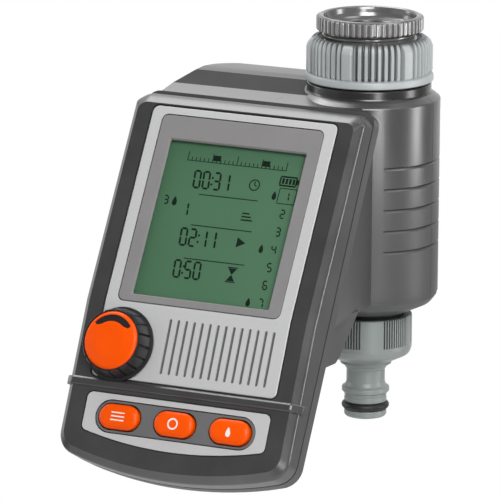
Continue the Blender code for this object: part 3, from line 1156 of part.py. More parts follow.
def build_knob(keys):
    axis = bpy.data.objects.new("knob_axis", None)
    axis.parent = keys
    axis.location = (KNOB_X, -KNOB_ROW, 0.0)
    PARTS.objects.link(axis)
    low = KNOB_LIFT
    high = low + KNOB_HEIGHT
    rings = []
    for z, radius in ((low, KNOB_RADIUS), (low + KNOB_HEIGHT * 0.25, KNOB_RADIUS), (high, KNOB_TOP_RADIUS)):
        rings.append([(x, y, z) for x, y in toothed(radius, KNOB_FLUTE_DEPTH, KNOB_FLUTES)])
    knob = loft("selector_knob", rings, axis)
    cap_low = high - CAP_SINK
    cut(knob, rod("cap_seat", CAP_RADIUS + SEAT_GAP, cap_low - SEAT_GAP, high + CAP_SINK, axis))
    cut(knob, rod("knob_bore", SHAFT_RADIUS + SEAT_GAP, 0.0, high, axis))
    finish(knob, (0.015, 0.015, 0.016), 0.45)
    cap_high = cap_low + CAP_THICKNESS
    rounding = CAP_THICKNESS * 0.3
    cap = turned("knob_cap", [
        (0.0, cap_high), (CAP_RADIUS - rounding, cap_high), (CAP_RADIUS, cap_high - rounding),
        (CAP_RADIUS, cap_low), (0.0, cap_low)], axis)
    mark = arc((0.0, 0.0), CAP_RADIUS * 0.86, math.radians(40), math.radians(140), 8)
    mark += arc((0.0, 0.0), CAP_RADIUS * 0.70, math.radians(125), math.radians(55), 6)
    cut(cap, prism("cap_mark", mark, cap_high - CAP_MARK_DEPTH, cap_high + CAP_SINK, axis))
    finish(cap, (1.0, 0.10, 0.0), 0.35)
    shaft_low = -ENCODER_TOP + SEAT_GAP
    shaft = rod("encoder_shaft", SHAFT_RADIUS, shaft_low, cap_low - SEAT_GAP, axis)
    finish(shaft, (0.50, 0.50, 0.51), 0.3, 1.0)


def build_keys(keys):
    """Buttons whose feet stop one travel short of the mat."""
    foot = front_z(-KEY_ROW - KEY_HALF_HEIGHT) - mat_top() - KEY_TRAVEL - 2 * SEAT_GAP
    for name, (x, y) in zip(("menu_button", "ok_button", "manual_button"), key_places()):
        axis = bpy.data.objects.new(name + "_axis", None)
        axis.parent = keys
        axis.location = (x, y, 0.0)
        PARTS.objects.link(axis)
        rounding = KEY_PROUD * 0.4
        rings = []
        for z, inset in ((-foot, 0.0), (KEY_PROUD - rounding, 0.0), (KEY_PROUD, rounding)):
            outline = stadium(0.0, 0.0, KEY_HALF_WIDTH - inset, KEY_HALF_HEIGHT - inset)
            rings.append([(px, py, z) for px, py in outline])
        finish(loft(name, rings, axis), (1.0, 0.075, 0.005), 0.35)


def main():
    clear_scene()
    foot_y, foot_z = seam_point(0.0, 0.0)
    crease = (PANEL_X, -CREASE_FORWARD, CREASE_Z)
    seam = add_frame("seam_plane", (PANEL_X, foot_y, foot_z), SEAM_TILT)
    display = add_frame("display_plane", crease, SEAM_TILT + DISPLAY_LEAN)
    keys = add_frame("key_plane", crease, SEAM_TILT - KEY_LEAN)
    bpy.context.view_layer.update()
    build_adapter_ring()
    build_union_nut()
    build_nipple()
    build_shell("front_shell", -1, seam)
    build_shell("rear_shell", 1, seam)
    build_shell_screws()
    build_valve_block()
    coil_low, coil_high = build_bonnet_group()
    build_solenoid_lead((coil_low + coil_high) / 2)
    build_outlet()
    build_front_cover(seam, display, keys)
    build_plates(seam, display, keys)
    build_display(display)
    build_back_cover(seam)
    build_battery(seam)
    build_electronics(seam, keys)
    build_knob(keys)
    build_keys(keys)


main()
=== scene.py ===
"""Looks of a tap-mounted irrigation controller with a lift-off control unit.

The solids come in metres, with the origin in the inlet's mouth, +Z up the valve axis and -Y towards
the display. Shapes here are written in millimetres in that frame and scaled once, when a mesh is made.
"""
from math import atan2, cos, degrees, pi, radians, sin, sqrt, tan

import bmesh
import bpy
from mathutils import Matrix, Vector


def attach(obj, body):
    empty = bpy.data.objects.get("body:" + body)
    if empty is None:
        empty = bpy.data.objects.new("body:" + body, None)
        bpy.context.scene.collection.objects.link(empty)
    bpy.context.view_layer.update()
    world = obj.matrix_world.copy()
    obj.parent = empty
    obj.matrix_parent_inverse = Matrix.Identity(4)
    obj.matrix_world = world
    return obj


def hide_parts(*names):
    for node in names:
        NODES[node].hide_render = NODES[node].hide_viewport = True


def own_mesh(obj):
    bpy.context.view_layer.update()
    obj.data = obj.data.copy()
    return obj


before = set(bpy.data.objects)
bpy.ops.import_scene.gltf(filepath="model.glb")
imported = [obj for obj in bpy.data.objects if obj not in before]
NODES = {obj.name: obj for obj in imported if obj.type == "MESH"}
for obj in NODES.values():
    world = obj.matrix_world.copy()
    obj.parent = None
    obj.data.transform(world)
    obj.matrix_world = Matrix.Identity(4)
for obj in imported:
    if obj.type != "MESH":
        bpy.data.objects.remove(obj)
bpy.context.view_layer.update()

MM = 0.001
# Sizes in millimetres, as the solids have them
SEAT_GAP, RUN_GAP = 0.3, 0.4
TAP_PITCH, MOUTH_PITCH = 2.309, 1.814
COLLAR_TOP, PLATFORM, BODY_BASE, CONE_END = -23.1, -26.8, -98.0, -104.5
WALL = 2.4
CYLINDER, COLLAR, NIPPLE_HOLE, SPIGOT_HOLE = 25.0, 21.8, 14.2, 13.5
PANEL_X = -25.0
UNIT_THICKNESS, UNIT_HALF, UNIT_TOP, UNIT_BOTTOM, UNIT_ARC = 12.0, 44.6, 79.3, 59.45, 150.0
DOCK, TERMINAL_ROW = 5.0, -6.5
SEAM_TILT, DISPLAY_LEAN, KEY_LEAN = radians(26.7), radians(2.25), radians(3.6)
KNOB_U, KNOB_V, SHAFT_HOLE = -26.7, -15.1, 3.4
KEY_ROW, KEY_SPACING = -40.2, 21.5
KEY_PLACES = [(u, KEY_ROW) for u in (-KEY_SPACING, 0.0, KEY_SPACING)]
SHELL_SCREWS, BOSS = [(x, z) for x in (-63.84, 17.35) for z in (-45.8, -79.0)], 4.2


def plane(x, y, z, tilt):
    """Frame of a leaning plane: local y runs up it and local z stands out of it."""
    s, c = sin(tilt), cos(tilt)
    return Matrix(((1, 0, 0, x), (0, s, -c, y), (0, c, s, z), (0, 0, 0, 1)))


def shift(x, y, z):
    return Matrix.Translation((x, y, z))


CREASE = (PANEL_X, -79.8, -92.7)
DISPLAY = plane(*CREASE, SEAM_TILT + DISPLAY_LEAN)
KEYS = plane(*CREASE, SEAM_TILT - KEY_LEAN)
SEAM = plane(*CREASE, SEAM_TILT) @ shift(0, 0, -UNIT_THICKNESS)
KNOB = KEYS @ shift(KNOB_U, KNOB_V, 0)
WORLD, TURN = Matrix.Identity(4), 2 * pi


# Node trees
class Value:
    """One socket of a node tree, with the operators that expressions here use."""

    def __init__(self, tree, socket):
        self.tree, self.socket = tree, socket

    def maths(self, operation, *others):
        return self.tree.node("ShaderNodeMath", dict(enumerate((self, *others))), operation=operation)

    def __add__(self, other):
        return self.maths("ADD", other)

    def __mul__(self, other):
        return self.maths("MULTIPLY", other)

    def __sub__(self, other):
        return self.maths("SUBTRACT", other)

    def __rsub__(self, other):
        return self.maths("MULTIPLY_ADD", -1.0, other)

    def __truediv__(self, other):
        return self.maths("DIVIDE", other)

    def above(self, limit):
        return self.maths("GREATER_THAN", limit)

    def below(self, limit):
        return self.maths("LESS_THAN", limit)

    __radd__, __rmul__ = __add__, __mul__


class Tree:
    """A node tree written as calls: each call adds one node and hands back one of its outputs."""

    def __init__(self, tree):
        self.tree = tree

    def node(self, kind, inputs=None, output=0, **settings):
        node = self.tree.nodes.new(kind)
        for key, value in settings.items():
            setattr(node, key, value)
        for key, value in (inputs or {}).items():
            if isinstance(value, Value):
                self.tree.links.new(value.socket, node.inputs[key])
            else:
                node.inputs[key].default_value = value
        return Value(self, node.outputs[output]) if node.outputs else node

    def vector(self, operation, first, second=(0.0, 0.0, 0.0), output="Value"):
        return self.node("ShaderNodeVectorMath", {0: first, 1: second}, output, operation=operation)

    def ramp(self, value, low, high, first=0.0, last=1.0, kind="SMOOTHSTEP"):
        limits = {"From Min": low, "From Max": high, "To Min": first, "To Max": last}
        return self.node("ShaderNodeMapRange", {"Value": value, **limits}, interpolation_type=kind)


# Finishes
class Finish(Tree):
    """A material on Object coordinates with one Principled shader."""

    def __init__(self, name):
        self.material = bpy.data.materials.new(name)
        self.material.use_nodes = True
        self.material.node_tree.nodes.clear()
        super().__init__(self.material.node_tree)
        self.place = self.node("ShaderNodeTexCoord", output="Object")

    def axis(self, letter):
        return self.node("ShaderNodeSeparateXYZ", {"Vector": self.place}, letter)

    def reach(self):
        """Distance from the valve axis."""
        return self.vector("LENGTH", self.vector("MULTIPLY", self.place, (1.0, 1.0, 0.0), "Vector"))

    def noise(self, size, detail=3.0, roughness=0.5, stretch=None):
        """Noise with features of about the given size in millimetres."""
        place = self.place
        if stretch:
            place = self.node("ShaderNodeMapping", {"Vector": place, "Scale": stretch})
        return self.node("ShaderNodeTexNoise", {
            "Vector": place, "Scale": 1000.0 / size, "Detail": detail, "Roughness": roughness}, "Fac")

    def plastic(self, size, grain, roughness, stretch=None):
        """Flow clouds with grain, the grain alone, and the uneven gloss of a moulded plastic."""
        clouds, fine = self.noise(size, 3.0, 0.55, stretch), self.noise(grain, 2.0, 0.6)
        return clouds * 0.7 + fine * 0.3, fine, clouds * 0.10 + (roughness - 0.08) + fine * 0.06

    def blend(self, share, first, second):
        return self.node("ShaderNodeMix", {0: share, 6: first, 7: second}, 2, data_type="RGBA")

    def tints(self, share, colour, low, high):
        """Mix of a darker and a lighter tint of one colour."""
        return self.blend(share, shade(colour, low), shade(colour, high))

    def bump(self, height, strength, depth):
        return self.node("ShaderNodeBump", {
            "Height": height, "Strength": strength, "Distance": depth * MM})

    def done(self, sockets):
        shader = self.node("ShaderNodeBsdfPrincipled", sockets)
        self.node("ShaderNodeOutputMaterial", {"Surface": shader})
        return self.material


SHEEN = "Specular IOR Level"


def shade(colour, gain):
    return (*(min(1.0, c * gain) for c in colour), 1.0)


def moulded(name, colour, roughness, relief=0.02, mottle=0.10, **sockets):
    """Injection-moulded plastic: fine spark-eroded grain, faint flow clouds and uneven gloss."""
    look = Finish(name)
    clouds, fine, gloss = look.plastic(14.0, 0.45, roughness)
    share = look.ramp(clouds, 0.3, 0.7, kind="LINEAR")
    return look.done({"Base Color": look.tints(share, colour, 1 - mottle, 1 + mottle), "Roughness": gloss,
                      "Normal": look.bump(fine, 0.35, relief), **sockets})


def ribbed(name, colour, roughness, floor, crest, deep, foot=-200.0, **sockets):
    """Moulded plastic of a round grip: painted shade darkens its gaps, below a radius and above its foot."""
    look = Finish(name)
    clouds, fine, gloss = look.plastic(11.0, 0.4, roughness, (1.0, 1.0, 0.4))
    # painted shade in the gaps: the colour darkens from the crest radius inwards, fully by the floor radius, above the
    # foot only
    unshaded_share = look.ramp(look.reach(), floor * MM, crest * MM).maths("MAXIMUM", look.axis("Z").below(foot * MM))
    base = look.blend(unshaded_share, shade(colour, deep), look.tints(clouds, colour, 0.92, 1.08))
    return look.done({"Base Color": base, "Roughness": gloss, "Normal": look.bump(fine, 0.3, 0.012), **sockets})


def roofed(name, colour, roughness):
    """Metallic plastic of the housing; its roof is rougher between a smooth front slope and the rear half, with a
    painted highlight on the slope and painted shade on the rougher part, the rear half and the lower wall.
    """
    ridge, edge = -0.0170, -0.0329
    look = Finish(name)
    clouds, fine = look.noise(14.0, 3.0, 0.55, (1.0, 1.0, 0.35)), look.noise(0.45, 2.0, 0.6)
    across, along, height = (look.axis(letter) for letter in "XYZ")
    reach = look.reach()
    roof = reach.above(0.0226) * height.above(-0.0285) * across.below(-0.004)
    # mask of the front slope: finer grain, smoother gloss and a painted highlight
    slope = along.below(ridge) * along.above(edge) * height.above(-0.0300) * look.ramp(across, -0.012, 0.004, 1.0, 0.0)
    # painted shade on the rear half, and more of it on the rougher, less metallic roof between the slope and the rear
    # half
    rear = roof * along.above(0.0)
    coarse_shaded = roof * along.above(ridge) - rear
    neck = reach.below(0.0223) * height.above(-0.0269)
    # painted shade that grows towards the bottom of the wall, where the gloss also grows rougher
    low_shade_and_matte = look.ramp(height, -0.080, -0.035, 0.2, 0.0)
    share = look.ramp(clouds * 0.7 + fine * 0.3, 0.3, 0.7, kind="LINEAR")
    # painted highlight: the front slope's colour is lifted 1.6 times
    base = look.blend(slope, look.tints(share, colour, 0.9, 1.1), shade(colour, 1.6))
    # painted shade on the rougher roof, the rear half and the lower wall; the collar is darker as well
    dark = coarse_shaded + rear * 0.45 + neck * 0.6 + low_shade_and_matte * 1.2
    grain = fine - 0.5
    gloss = clouds * 0.10 + (roughness - 0.08) + grain * (0.06 - slope * 0.055) + 0.03
    return look.done({
        "Base Color": look.blend(dark, base, shade(colour, 0.12)), "Metallic": 0.65 - coarse_shaded * 0.6,
        "Roughness": gloss + coarse_shaded * 0.45 + low_shade_and_matte - neck * 0.05,
        "Normal": look.bump(grain * (1.0 - slope * 0.9), 0.35, 0.02)})


def silver_paint(name, colour):
    """Metallic lacquer on plastic: fine flakes under a satin coat, with painted shade on what lies below the two faces.
    """
    look = Finish(name)
    flakes = look.node("ShaderNodeTexVoronoi", {"Vector": look.place, "Scale": 4200.0}, "Distance")
    clouds, fine = look.noise(22.0, 2.0), look.noise(0.35, 2.0, 0.6)
    share = look.ramp(flakes * 0.6 + fine * 0.5, 0.2, 0.75, kind="LINEAR")
    heights = []
    for face in (DISPLAY, KEYS):
        out = face.to_3x3().col[2]
        heights.append(look.vector("DOT_PRODUCT", look.place, tuple(out)) - out.dot(face.translation) * MM)
    # painted shade on all that lies more than 0.22 mm below both faces, such as the grille slots' floors and the
    # plates' edges
    recess_shade = heights[0].maths("MAXIMUM", heights[1]).below(-0.00022)
    return look.done({
        "Base Color": look.blend(recess_shade, look.tints(share, colour, 0.93, 1.06), shade(colour, 0.22)),
        "Metallic": flakes * 0.2 + 0.22, "Roughness": clouds * 0.08 + 0.36 + flakes * 0.05,
        "Normal": look.bump(fine, 0.25, 0.012), "Coat Weight": 0.12, "Coat Roughness": 0.25})


def metal(name, colour, roughness, brushed=(1.0, 1.0, 1.0)):
    look = Finish(name)
    lines, stains = look.noise(0.6, 4.0, 0.65, brushed), look.noise(6.0, 3.0)
    return look.done({
        "Base Color": look.tints(stains, colour, 0.86, 1.08), "Metallic": 1.0,
        "Roughness": lines * 0.16 + (roughness - 0.08), "Normal": look.bump(lines, 0.25, 0.01)})


def rubber(name, colour, roughness=0.62):
    look = Finish(name)
    bloom, fine = look.noise(5.0, 4.0, 0.6), look.noise(0.3, 2.0)
    return look.done({
        "Base Color": look.tints(bloom, colour, 0.75, 1.3),
        "Roughness": bloom * 0.18 + (roughness - 0.08), "Normal": look.bump(fine, 0.4, 0.02)})


def liquid_crystal(name):
    """Reflective display glass: grey-green field, a little deeper towards one side, faint cell grain."""
    look = Finish(name)
    cells, clouds = look.noise(0.5, 1.0), look.noise(30.0, 2.0)
    across = look.ramp(look.axis("X"), -0.053, 0.003, kind="LINEAR")
    share = clouds * 0.35 + cells * 0.15 + across * 0.45
    return look.done({
        "Base Color": look.blend(share, (0.068, 0.168, 0.090, 1.0), (0.088, 0.196, 0.112, 1.0)),
        "Roughness": cells * 0.1 + 0.5, SHEEN: 0.2})


def clear_sheet(name):
    look = Finish(name)
    wipe = look.noise(18.0, 3.0, 0.6, (1.0, 0.4, 0.4))
    return look.done({
        "Base Color": (0.03, 0.04, 0.035, 1.0), "Roughness": wipe * 0.08 + 0.04,
        "Alpha": wipe * 0.02 + 0.02, SHEEN: 0.2})


def laminate(name):
    look = Finish(name)
    weave = look.node("ShaderNodeTexChecker", {"Vector": look.place, "Scale": 900.0}, "Fac")
    tracks = look.node("ShaderNodeTexBrick", {
        "Vector": look.place, "Scale": 90.0, "Mortar Size": 0.018}, "Fac", offset=0.5)
    clouds = look.noise(8.0, 3.0)
    base = look.blend(clouds * 0.7 + weave * 0.3, (0.012, 0.075, 0.026, 1.0), (0.02, 0.11, 0.04, 1.0))
    return look.done({
        "Base Color": look.blend(tracks, base, (0.05, 0.17, 0.07, 1.0)),
        "Roughness": clouds * 0.2 + 0.28, "Normal": look.bump(tracks, 0.3, 0.03)})


def woven_mesh(name):
    """Strainer gauze: a square weave of fine wire over a dark cup."""
    look = Finish(name)
    wires = look.node("ShaderNodeTexBrick", {
        "Vector": look.place, "Scale": 800.0, "Mortar Size": 0.12, "Brick Width": 0.5, "Row Height": 0.5}, "Fac",
        offset=0.0)
    return look.done({
        "Base Color": look.blend(wires, (0.025, 0.025, 0.027, 1.0), (0.45, 0.45, 0.44, 1.0)),
        "Metallic": wires * 0.8, "Roughness": 0.42 - wires * 0.12, "Normal": look.bump(wires, 0.5, 0.08)})


def foil_wrap(name):
    """Printed metal jacket of a battery block, in two plain bands."""
    look = Finish(name)
    band = look.axis("Z").above(-0.072)
    scuffs = look.noise(3.0, 4.0, 0.6)
    base = look.blend(band, (0.02, 0.021, 0.024, 1.0), (0.42, 0.27, 0.10, 1.0))
    return look.done({
        "Base Color": look.blend(scuffs * 0.25, base, (0.5, 0.5, 0.5, 1.0)), "Metallic": band * 0.5 + 0.3,
        "Roughness": scuffs * 0.2 + 0.22})


LOOKS = {
    "housing_plastic": roofed("anthracite_housing", (0.150, 0.150, 0.151), 0.30),
    "cover_plastic": moulded("anthracite_cover", (0.130, 0.130, 0.131), 0.33, Metallic=0.75),
    "silver_plastic": silver_paint("silver_faceplate", (0.67, 0.67, 0.67)),
    "trim_plastic": moulded("grey_display_frame", (0.235, 0.228, 0.228), 0.5, mottle=0.05),
    "pad_plastic": moulded("grey_button_pad", (0.14, 0.142, 0.146), 0.5, mottle=0.07),
    "ring_plastic": ribbed("polished_grey_ring", (0.34, 0.335, 0.335), 0.2, 18.1, 18.7, 0.6, Metallic=0.45),
    "nut_plastic": ribbed("light_grey_nut", (0.41, 0.435, 0.435), 0.38, 19.4, 20.9, 0.3),
    "connector_plastic": ribbed("pale_grey_connector", (0.235, 0.26, 0.248), 0.36, 15.55, 16.0, 0.25, -116.3),
    # black valve body; where its spigot shows in the gap above the connector, it also stands in for the shade in that
    # gap
    "valve_plastic": moulded("black_valve_body", (0.012, 0.012, 0.013), 0.5, **{SHEEN: 0.15}),
    "strainer_mesh": woven_mesh("strainer_gauze"),
    "orange_plastic": moulded("orange_buttons", (1.0, 0.092, 0.0), 0.30, 0.006, 0.05, **{SHEEN: 0.2}),
    "knob_plastic": moulded("black_knob", (0.016, 0.016, 0.018), 0.36, relief=0.012),
    "seal_rubber": rubber("black_seal_rubber", (0.008, 0.008, 0.0085), 0.5),
    "key_rubber": rubber("grey_key_rubber", (0.20, 0.21, 0.22)),
    "steel": metal("zinc_steel", (0.56, 0.56, 0.57), 0.32, (1.0, 6.0, 1.0)),
    "contact_brass": metal("gilt_contact", (0.72, 0.50, 0.19), 0.26),
    "coil_moulding": moulded("coil_moulding", (0.05, 0.05, 0.052), 0.5),
    "lead_jacket": rubber("lead_jacket", (0.02, 0.02, 0.021), 0.5),
    "window_clear": clear_sheet("clear_window"),
    "lcd_glass": liquid_crystal("display_glass"),
    "lcd_carrier": moulded("white_carrier", (0.62, 0.62, 0.60), 0.5),
    "board_laminate": laminate("green_laminate"),
    "encoder_case": metal("encoder_case", (0.30, 0.30, 0.31), 0.38),
    "battery_case": foil_wrap("battery_jacket"),
}
MARK_INK = moulded("display_marks", (0.006, 0.016, 0.009), 0.6, mottle=0.2, **{SHEEN: 0.1})
WHITE_INK = moulded("white_marks", (0.85, 0.83, 0.80), 0.45, mottle=0.04)


# Outlines
def smooth(low, high, x):
    t = max(0.0, min(1.0, (x - low) / (high - low)))
    return t * t * (3 - 2 * t)


def fillet(corners, steps=5, closed=True):
    """Polyline through (x, y, radius) corners with each corner rounded."""
    points = []
    count = len(corners)
    for i, (x, y, radius) in enumerate(corners):
        here = Vector((x, y))
        if radius <= 0 or (not closed and i in (0, count - 1)):
            points.append((x, y))
            continue
        before = Vector(corners[i - 1][:2]) - here
        after = Vector(corners[(i + 1) % count][:2]) - here
        half = before.angle(after) / 2
        reach = min(radius / tan(half), before.length * 0.5, after.length * 0.5)
        radius = reach * tan(half)
        before.normalize()
        after.normalize()
        middle = here + (before + after).normalized() * radius / sin(half)
        first, last = here + before * reach - middle, here + after * reach - middle
        start = atan2(first.y, first.x)
        sweep = (atan2(last.y, last.x) - start + pi) % TURN - pi
        points += [(middle.x + radius * cos(start + sweep * k / steps),
                    middle.y + radius * sin(start + sweep * k / steps)) for k in range(steps + 1)]
    return points


def arc(radius, start, end, steps, x=0.0, y=0.0):
    angles = [start + (end - start) * k / steps for k in range(steps + 1)]
    return [(x + radius * cos(a), y + radius * sin(a)) for a in angles]


def box_outline(half, low, high, radius=0.0, steps=5):
    return fillet([(-half, low, radius), (half, low, radius), (half, high, radius), (-half, high, radius)], steps)


def stadium(x, y, half_width, half_height, steps=14):
    reach = half_width - half_height
    return (arc(half_height, -pi / 2, pi / 2, steps, x + reach, y)
            + arc(half_height, pi / 2, 3 * pi / 2, steps, x - reach, y))


def arched(half, top, apex, arc_radius, top_corner, bottom_corner, crease=True, steps=8):
    """Outline with square shoulders whose bottom edge bows down by a shallow arc."""
    def bottom(x):
        return -apex + arc_radius - sqrt(arc_radius ** 2 - x ** 2)
    reach = half - bottom_corner * 1.4
    chord = [(reach * (k / 8 - 1), bottom(reach * (k / 8 - 1)), 0.0) for k in range(17)]
    fold = [(half, 0.0, 0.0)] if crease else []
    back = [(-half, 0.0, 0.0)] if crease else []
    return fillet([(-half, bottom(half), bottom_corner), *chord, (half, bottom(half), bottom_corner), *fold,
                   (half, top, top_corner), (-half, top, top_corner), *back], steps)


def unit_outline(inset, drop=None):
    """Outline of the control unit, drawn in all round and by its own drop at the top."""
    top = UNIT_TOP - (inset if drop is None else drop)
    return arched(UNIT_HALF - inset, top, UNIT_BOTTOM - inset, UNIT_ARC - inset,
                  max(4.6 - inset * 0.5, 1.0), max(8.0 - inset * 0.6, 1.0))


def at(outline, z):
    return [(x, y, z) for x, y in outline]


def front_z(y, sink):
    """Height above the seam plane of what lies a given depth under the folded front."""
    return UNIT_THICKNESS - abs(y) * tan(DISPLAY_LEAN if y > 0 else KEY_LEAN) - sink


def dock_y(z, depth):
    """Place of the dock's leaning back at a height, a given depth behind the seam."""
    foot = SEAM @ Vector((0, 0, -depth))
    return foot.y + (z - foot.z) * tan(SEAM_TILT)


# Meshes
def placed(name, data):
    """New object in the scene."""
    thing = bpy.data.objects.new(name, data)
    bpy.context.scene.collection.objects.link(thing)
    return thing


def solid(name, shape, place=WORLD):
    """Object of a bmesh in millimetres, set in a frame and scaled to metres."""
    bmesh.ops.recalc_face_normals(shape, faces=shape.faces)
    shape.transform(Matrix.Scale(MM, 4) @ place)
    mesh = bpy.data.meshes.new(name)
    shape.to_mesh(mesh)
    shape.free()
    return placed(name, mesh)


def band(shape, low, high):
    """Faces between two rings of points, either of which may be a single pole."""
    if len(low) == 1 and len(high) == 1:
        return
    count = max(len(low), len(high))
    for i in range(count):
        j = (i + 1) % count
        corners = [low[i % len(low)], low[j % len(low)], high[j % len(high)], high[i % len(high)]]
        shape.faces.new(list(dict.fromkeys(corners)))


def lofted(name, rings, place=WORLD, caps=True, loop=False, fold=None):
    """Skin over rings of equal count; fold gives the two points that a bent cap hinges on."""
    shape = bmesh.new()
    loops = [[shape.verts.new(p) for p in ring] for ring in rings]
    for low, high in zip(loops, loops[1:] + loops[:1] if loop else loops[1:]):
        band(shape, low, high)
    if caps and not loop:
        for ring in (loops[0], loops[-1]):
            if len(ring) > 2 and fold:
                a, b = sorted(fold)
                shape.faces.new(ring[a:b + 1])
                shape.faces.new(ring[b:] + ring[:a + 1])
            elif len(ring) > 2:
                shape.faces.new(ring)
    return solid(name, shape, place)


def prism(name, outline, low, high, place=WORLD):
    return lofted(name, [at(outline, low), at(outline, high)], place)


def bevelled(name, outline, levels, place=WORLD):
    """Prism whose outline, a function of one measure, takes given measures at given heights."""
    return lofted(name, [at(outline(measure), z) for measure, z in levels], place)


def turned(name, profile, steps=96, place=WORLD, loop=False, start=0.0):
    """Body of revolution; a profile that closes on itself makes a ring."""
    rings = []
    for radius, z in profile:
        angles = [0.0] if radius < 1e-6 else [start + TURN * k / steps for k in range(steps)]
        rings.append([(radius * cos(a), radius * sin(a), z) for a in angles])
    return lofted(name, rings, place, caps=False, loop=loop)


def rod(name, radius, first, last, steps=32, place=WORLD, start=0.0):
    """Plain cylinder between two heights."""
    return turned(name, [(0, first), (radius, first), (radius, last), (0, last)], steps, place, start=start)


def skin(name, levels, radius, steps, place=WORLD, loop=False):
    """Round body whose radius is a rule of the level's number and the angle."""
    turn = [TURN * k / steps for k in range(steps)]
    rings = [[(radius(i, a) * cos(a), radius(i, a) * sin(a), z) for a in turn]
             for i, z in enumerate(levels)]
    return lofted(name, rings, place, loop=loop)


def bake(piece):
    """Turn an object's modifiers into its mesh."""
    graph = bpy.context.evaluated_depsgraph_get()
    mesh = bpy.data.meshes.new_from_object(piece.evaluated_get(graph))
    piece.modifiers.clear()
    old, piece.data = piece.data, mesh
    bpy.data.meshes.remove(old)
    return piece


def carve(piece, operation, *tools):
    for tool in tools:
        step = piece.modifiers.new(tool.name, "BOOLEAN")
        step.object, step.operation, step.solver = tool, operation, "EXACT"
    bake(piece)
    for tool in tools:
        bpy.data.objects.remove(tool)
    return piece


def cut(piece, *tools):
    return carve(piece, "DIFFERENCE", *tools)


def join(piece, *tools):
    return carve(piece, "UNION", *tools)


def gather(piece, *others):
    """Put other meshes into a piece as separate shells."""
    shape = bmesh.new()
    shape.from_mesh(piece.data)
    for other in others:
        shape.from_mesh(other.data)
        bpy.data.objects.remove(other)
    shape.to_mesh(piece.data)
    shape.free()
    return piece


def twin(piece, name):
    return placed(name, piece.data.copy())


def dress(piece, body, slot, *nodes, look=None, angle=30.0):
    """Finish a piece: material, shading, the body it rides on and the solids it stands for."""
    mesh = piece.data
    shape = bmesh.new()
    shape.from_mesh(mesh)
    bmesh.ops.dissolve_degenerate(shape, edges=shape.edges, dist=2e-7)
    shape.to_mesh(mesh)
    shape.free()
    mesh.materials.clear()
    mesh.materials.append(look or LOOKS[slot])
    mesh.shade_smooth()
    mesh.set_sharp_from_angle(angle=radians(angle))
    level = piece.modifiers.new("even_normals", "WEIGHTED_NORMAL")
    level.keep_sharp = True
    bake(piece)
    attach(piece, body)
    if nodes:
        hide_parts(*nodes)
    return piece


# Repeats
def growth(name, **inputs):
    """Geometry tree with a shape, a finish and numbers as inputs, those inputs by name, and the copy's number."""
    inputs = {"Shape": "Object", "Finish": "Material", **inputs}
    group = bpy.data.node_groups.new(name, "GeometryNodeTree")
    group.interface.new_socket("Geometry", in_out="OUTPUT", socket_type="NodeSocketGeometry")
    for label, kind in inputs.items():
        group.interface.new_socket(label, in_out="INPUT", socket_type="NodeSocket" + kind)
    tree = Tree(group)
    entry = group.nodes.new("NodeGroupInput")
    return tree, {label: Value(tree, entry.outputs[label]) for label in inputs}, tree.node("GeometryNodeInputIndex")


def copies(tree, given, count, place, turn):
    """Instances of the given shape at places and turns, given as parts of a vector, made real with their finish."""
    place, turn = (tree.node("ShaderNodeCombineXYZ", parts) for parts in (place, turn))
    points = tree.node("GeometryNodePoints", {"Count": count, "Position": place})
    shape = tree.node("GeometryNodeObjectInfo", {"Object": given["Shape"]}, "Geometry")
    spread = tree.node("GeometryNodeInstanceOnPoints", {"Points": points, "Instance": shape, "Rotation": turn})
    whole = tree.node("GeometryNodeRealizeInstances", {"Geometry": spread})
    done = tree.node("GeometryNodeSetMaterial", {"Geometry": whole, "Material": given["Finish"]})
    tree.node("NodeGroupOutput", {"Geometry": done})
    return tree.tree


def round_tree():
    """Copies in equal groups round the valve axis, such as knurls and grip ribs."""
    tree, given, index = growth("copies_round_axis", Count="Int", Groups="Int", Start="Float", Pitch="Float")
    count, groups = given["Count"], given["Groups"]
    group = (index / count).maths("FLOOR")
    angle = given["Start"] + (index - group * count) * given["Pitch"] + group * TURN / groups
    return copies(tree, given, count * groups, {}, {"Z": angle})


def row_tree():
    """Copies in a straight row along local X, such as the slots of a grille."""
    tree, given, index = growth("copies_in_row", Count="Int", Centre="Float", Pitch="Float")
    along = given["Centre"] + (index - (given["Count"] - 1.0) * 0.5) * given["Pitch"]
    return copies(tree, given, given["Count"], {"X": along}, {})


def block_tree():
    """Copies on a rectangle of four corners, such as the screws of a cover."""
    tree, given, index = growth("copies_on_corners", Left="Float", Right="Float", Low="Float", High="Float")
    across = given["Left"] + index.above(1.5) * (given["Right"] - given["Left"])
    along = given["Low"] + index.maths("MODULO", 2.0) * (given["High"] - given["Low"])
    return copies(tree, given, 4, {"X": across, "Y": along}, {})


def grow(name, group, shape, slot, place=WORLD, **values):
    """Run a geometry tree on a shape and keep its result as a plain mesh in a frame."""
    piece = placed(name, bpy.data.meshes.new(name))
    step = piece.modifiers.new("grow", "NODES")
    step.node_group = group
    values = {"Shape": shape, "Finish": LOOKS[slot], **values}
    for item in group.interface.items_tree:
        if item.in_out == "INPUT":
            step[item.identifier] = values[item.name]
    bake(piece)
    bpy.data.objects.remove(shape)
    piece.data.transform(Matrix.Translation(place.translation * MM) @ place.to_3x3().to_4x4())
    return piece


ROUND, ROW, CORNERS = round_tree(), row_tree(), block_tree()


# Inlet
def thread_wave(angle, z, pitch):
    """Height from 0 to 1 of a right-hand thread's flank."""
    share = (z / pitch - angle / TURN) % 1.0
    return smooth(0.08, 0.40, share) - smooth(0.60, 0.92, share)


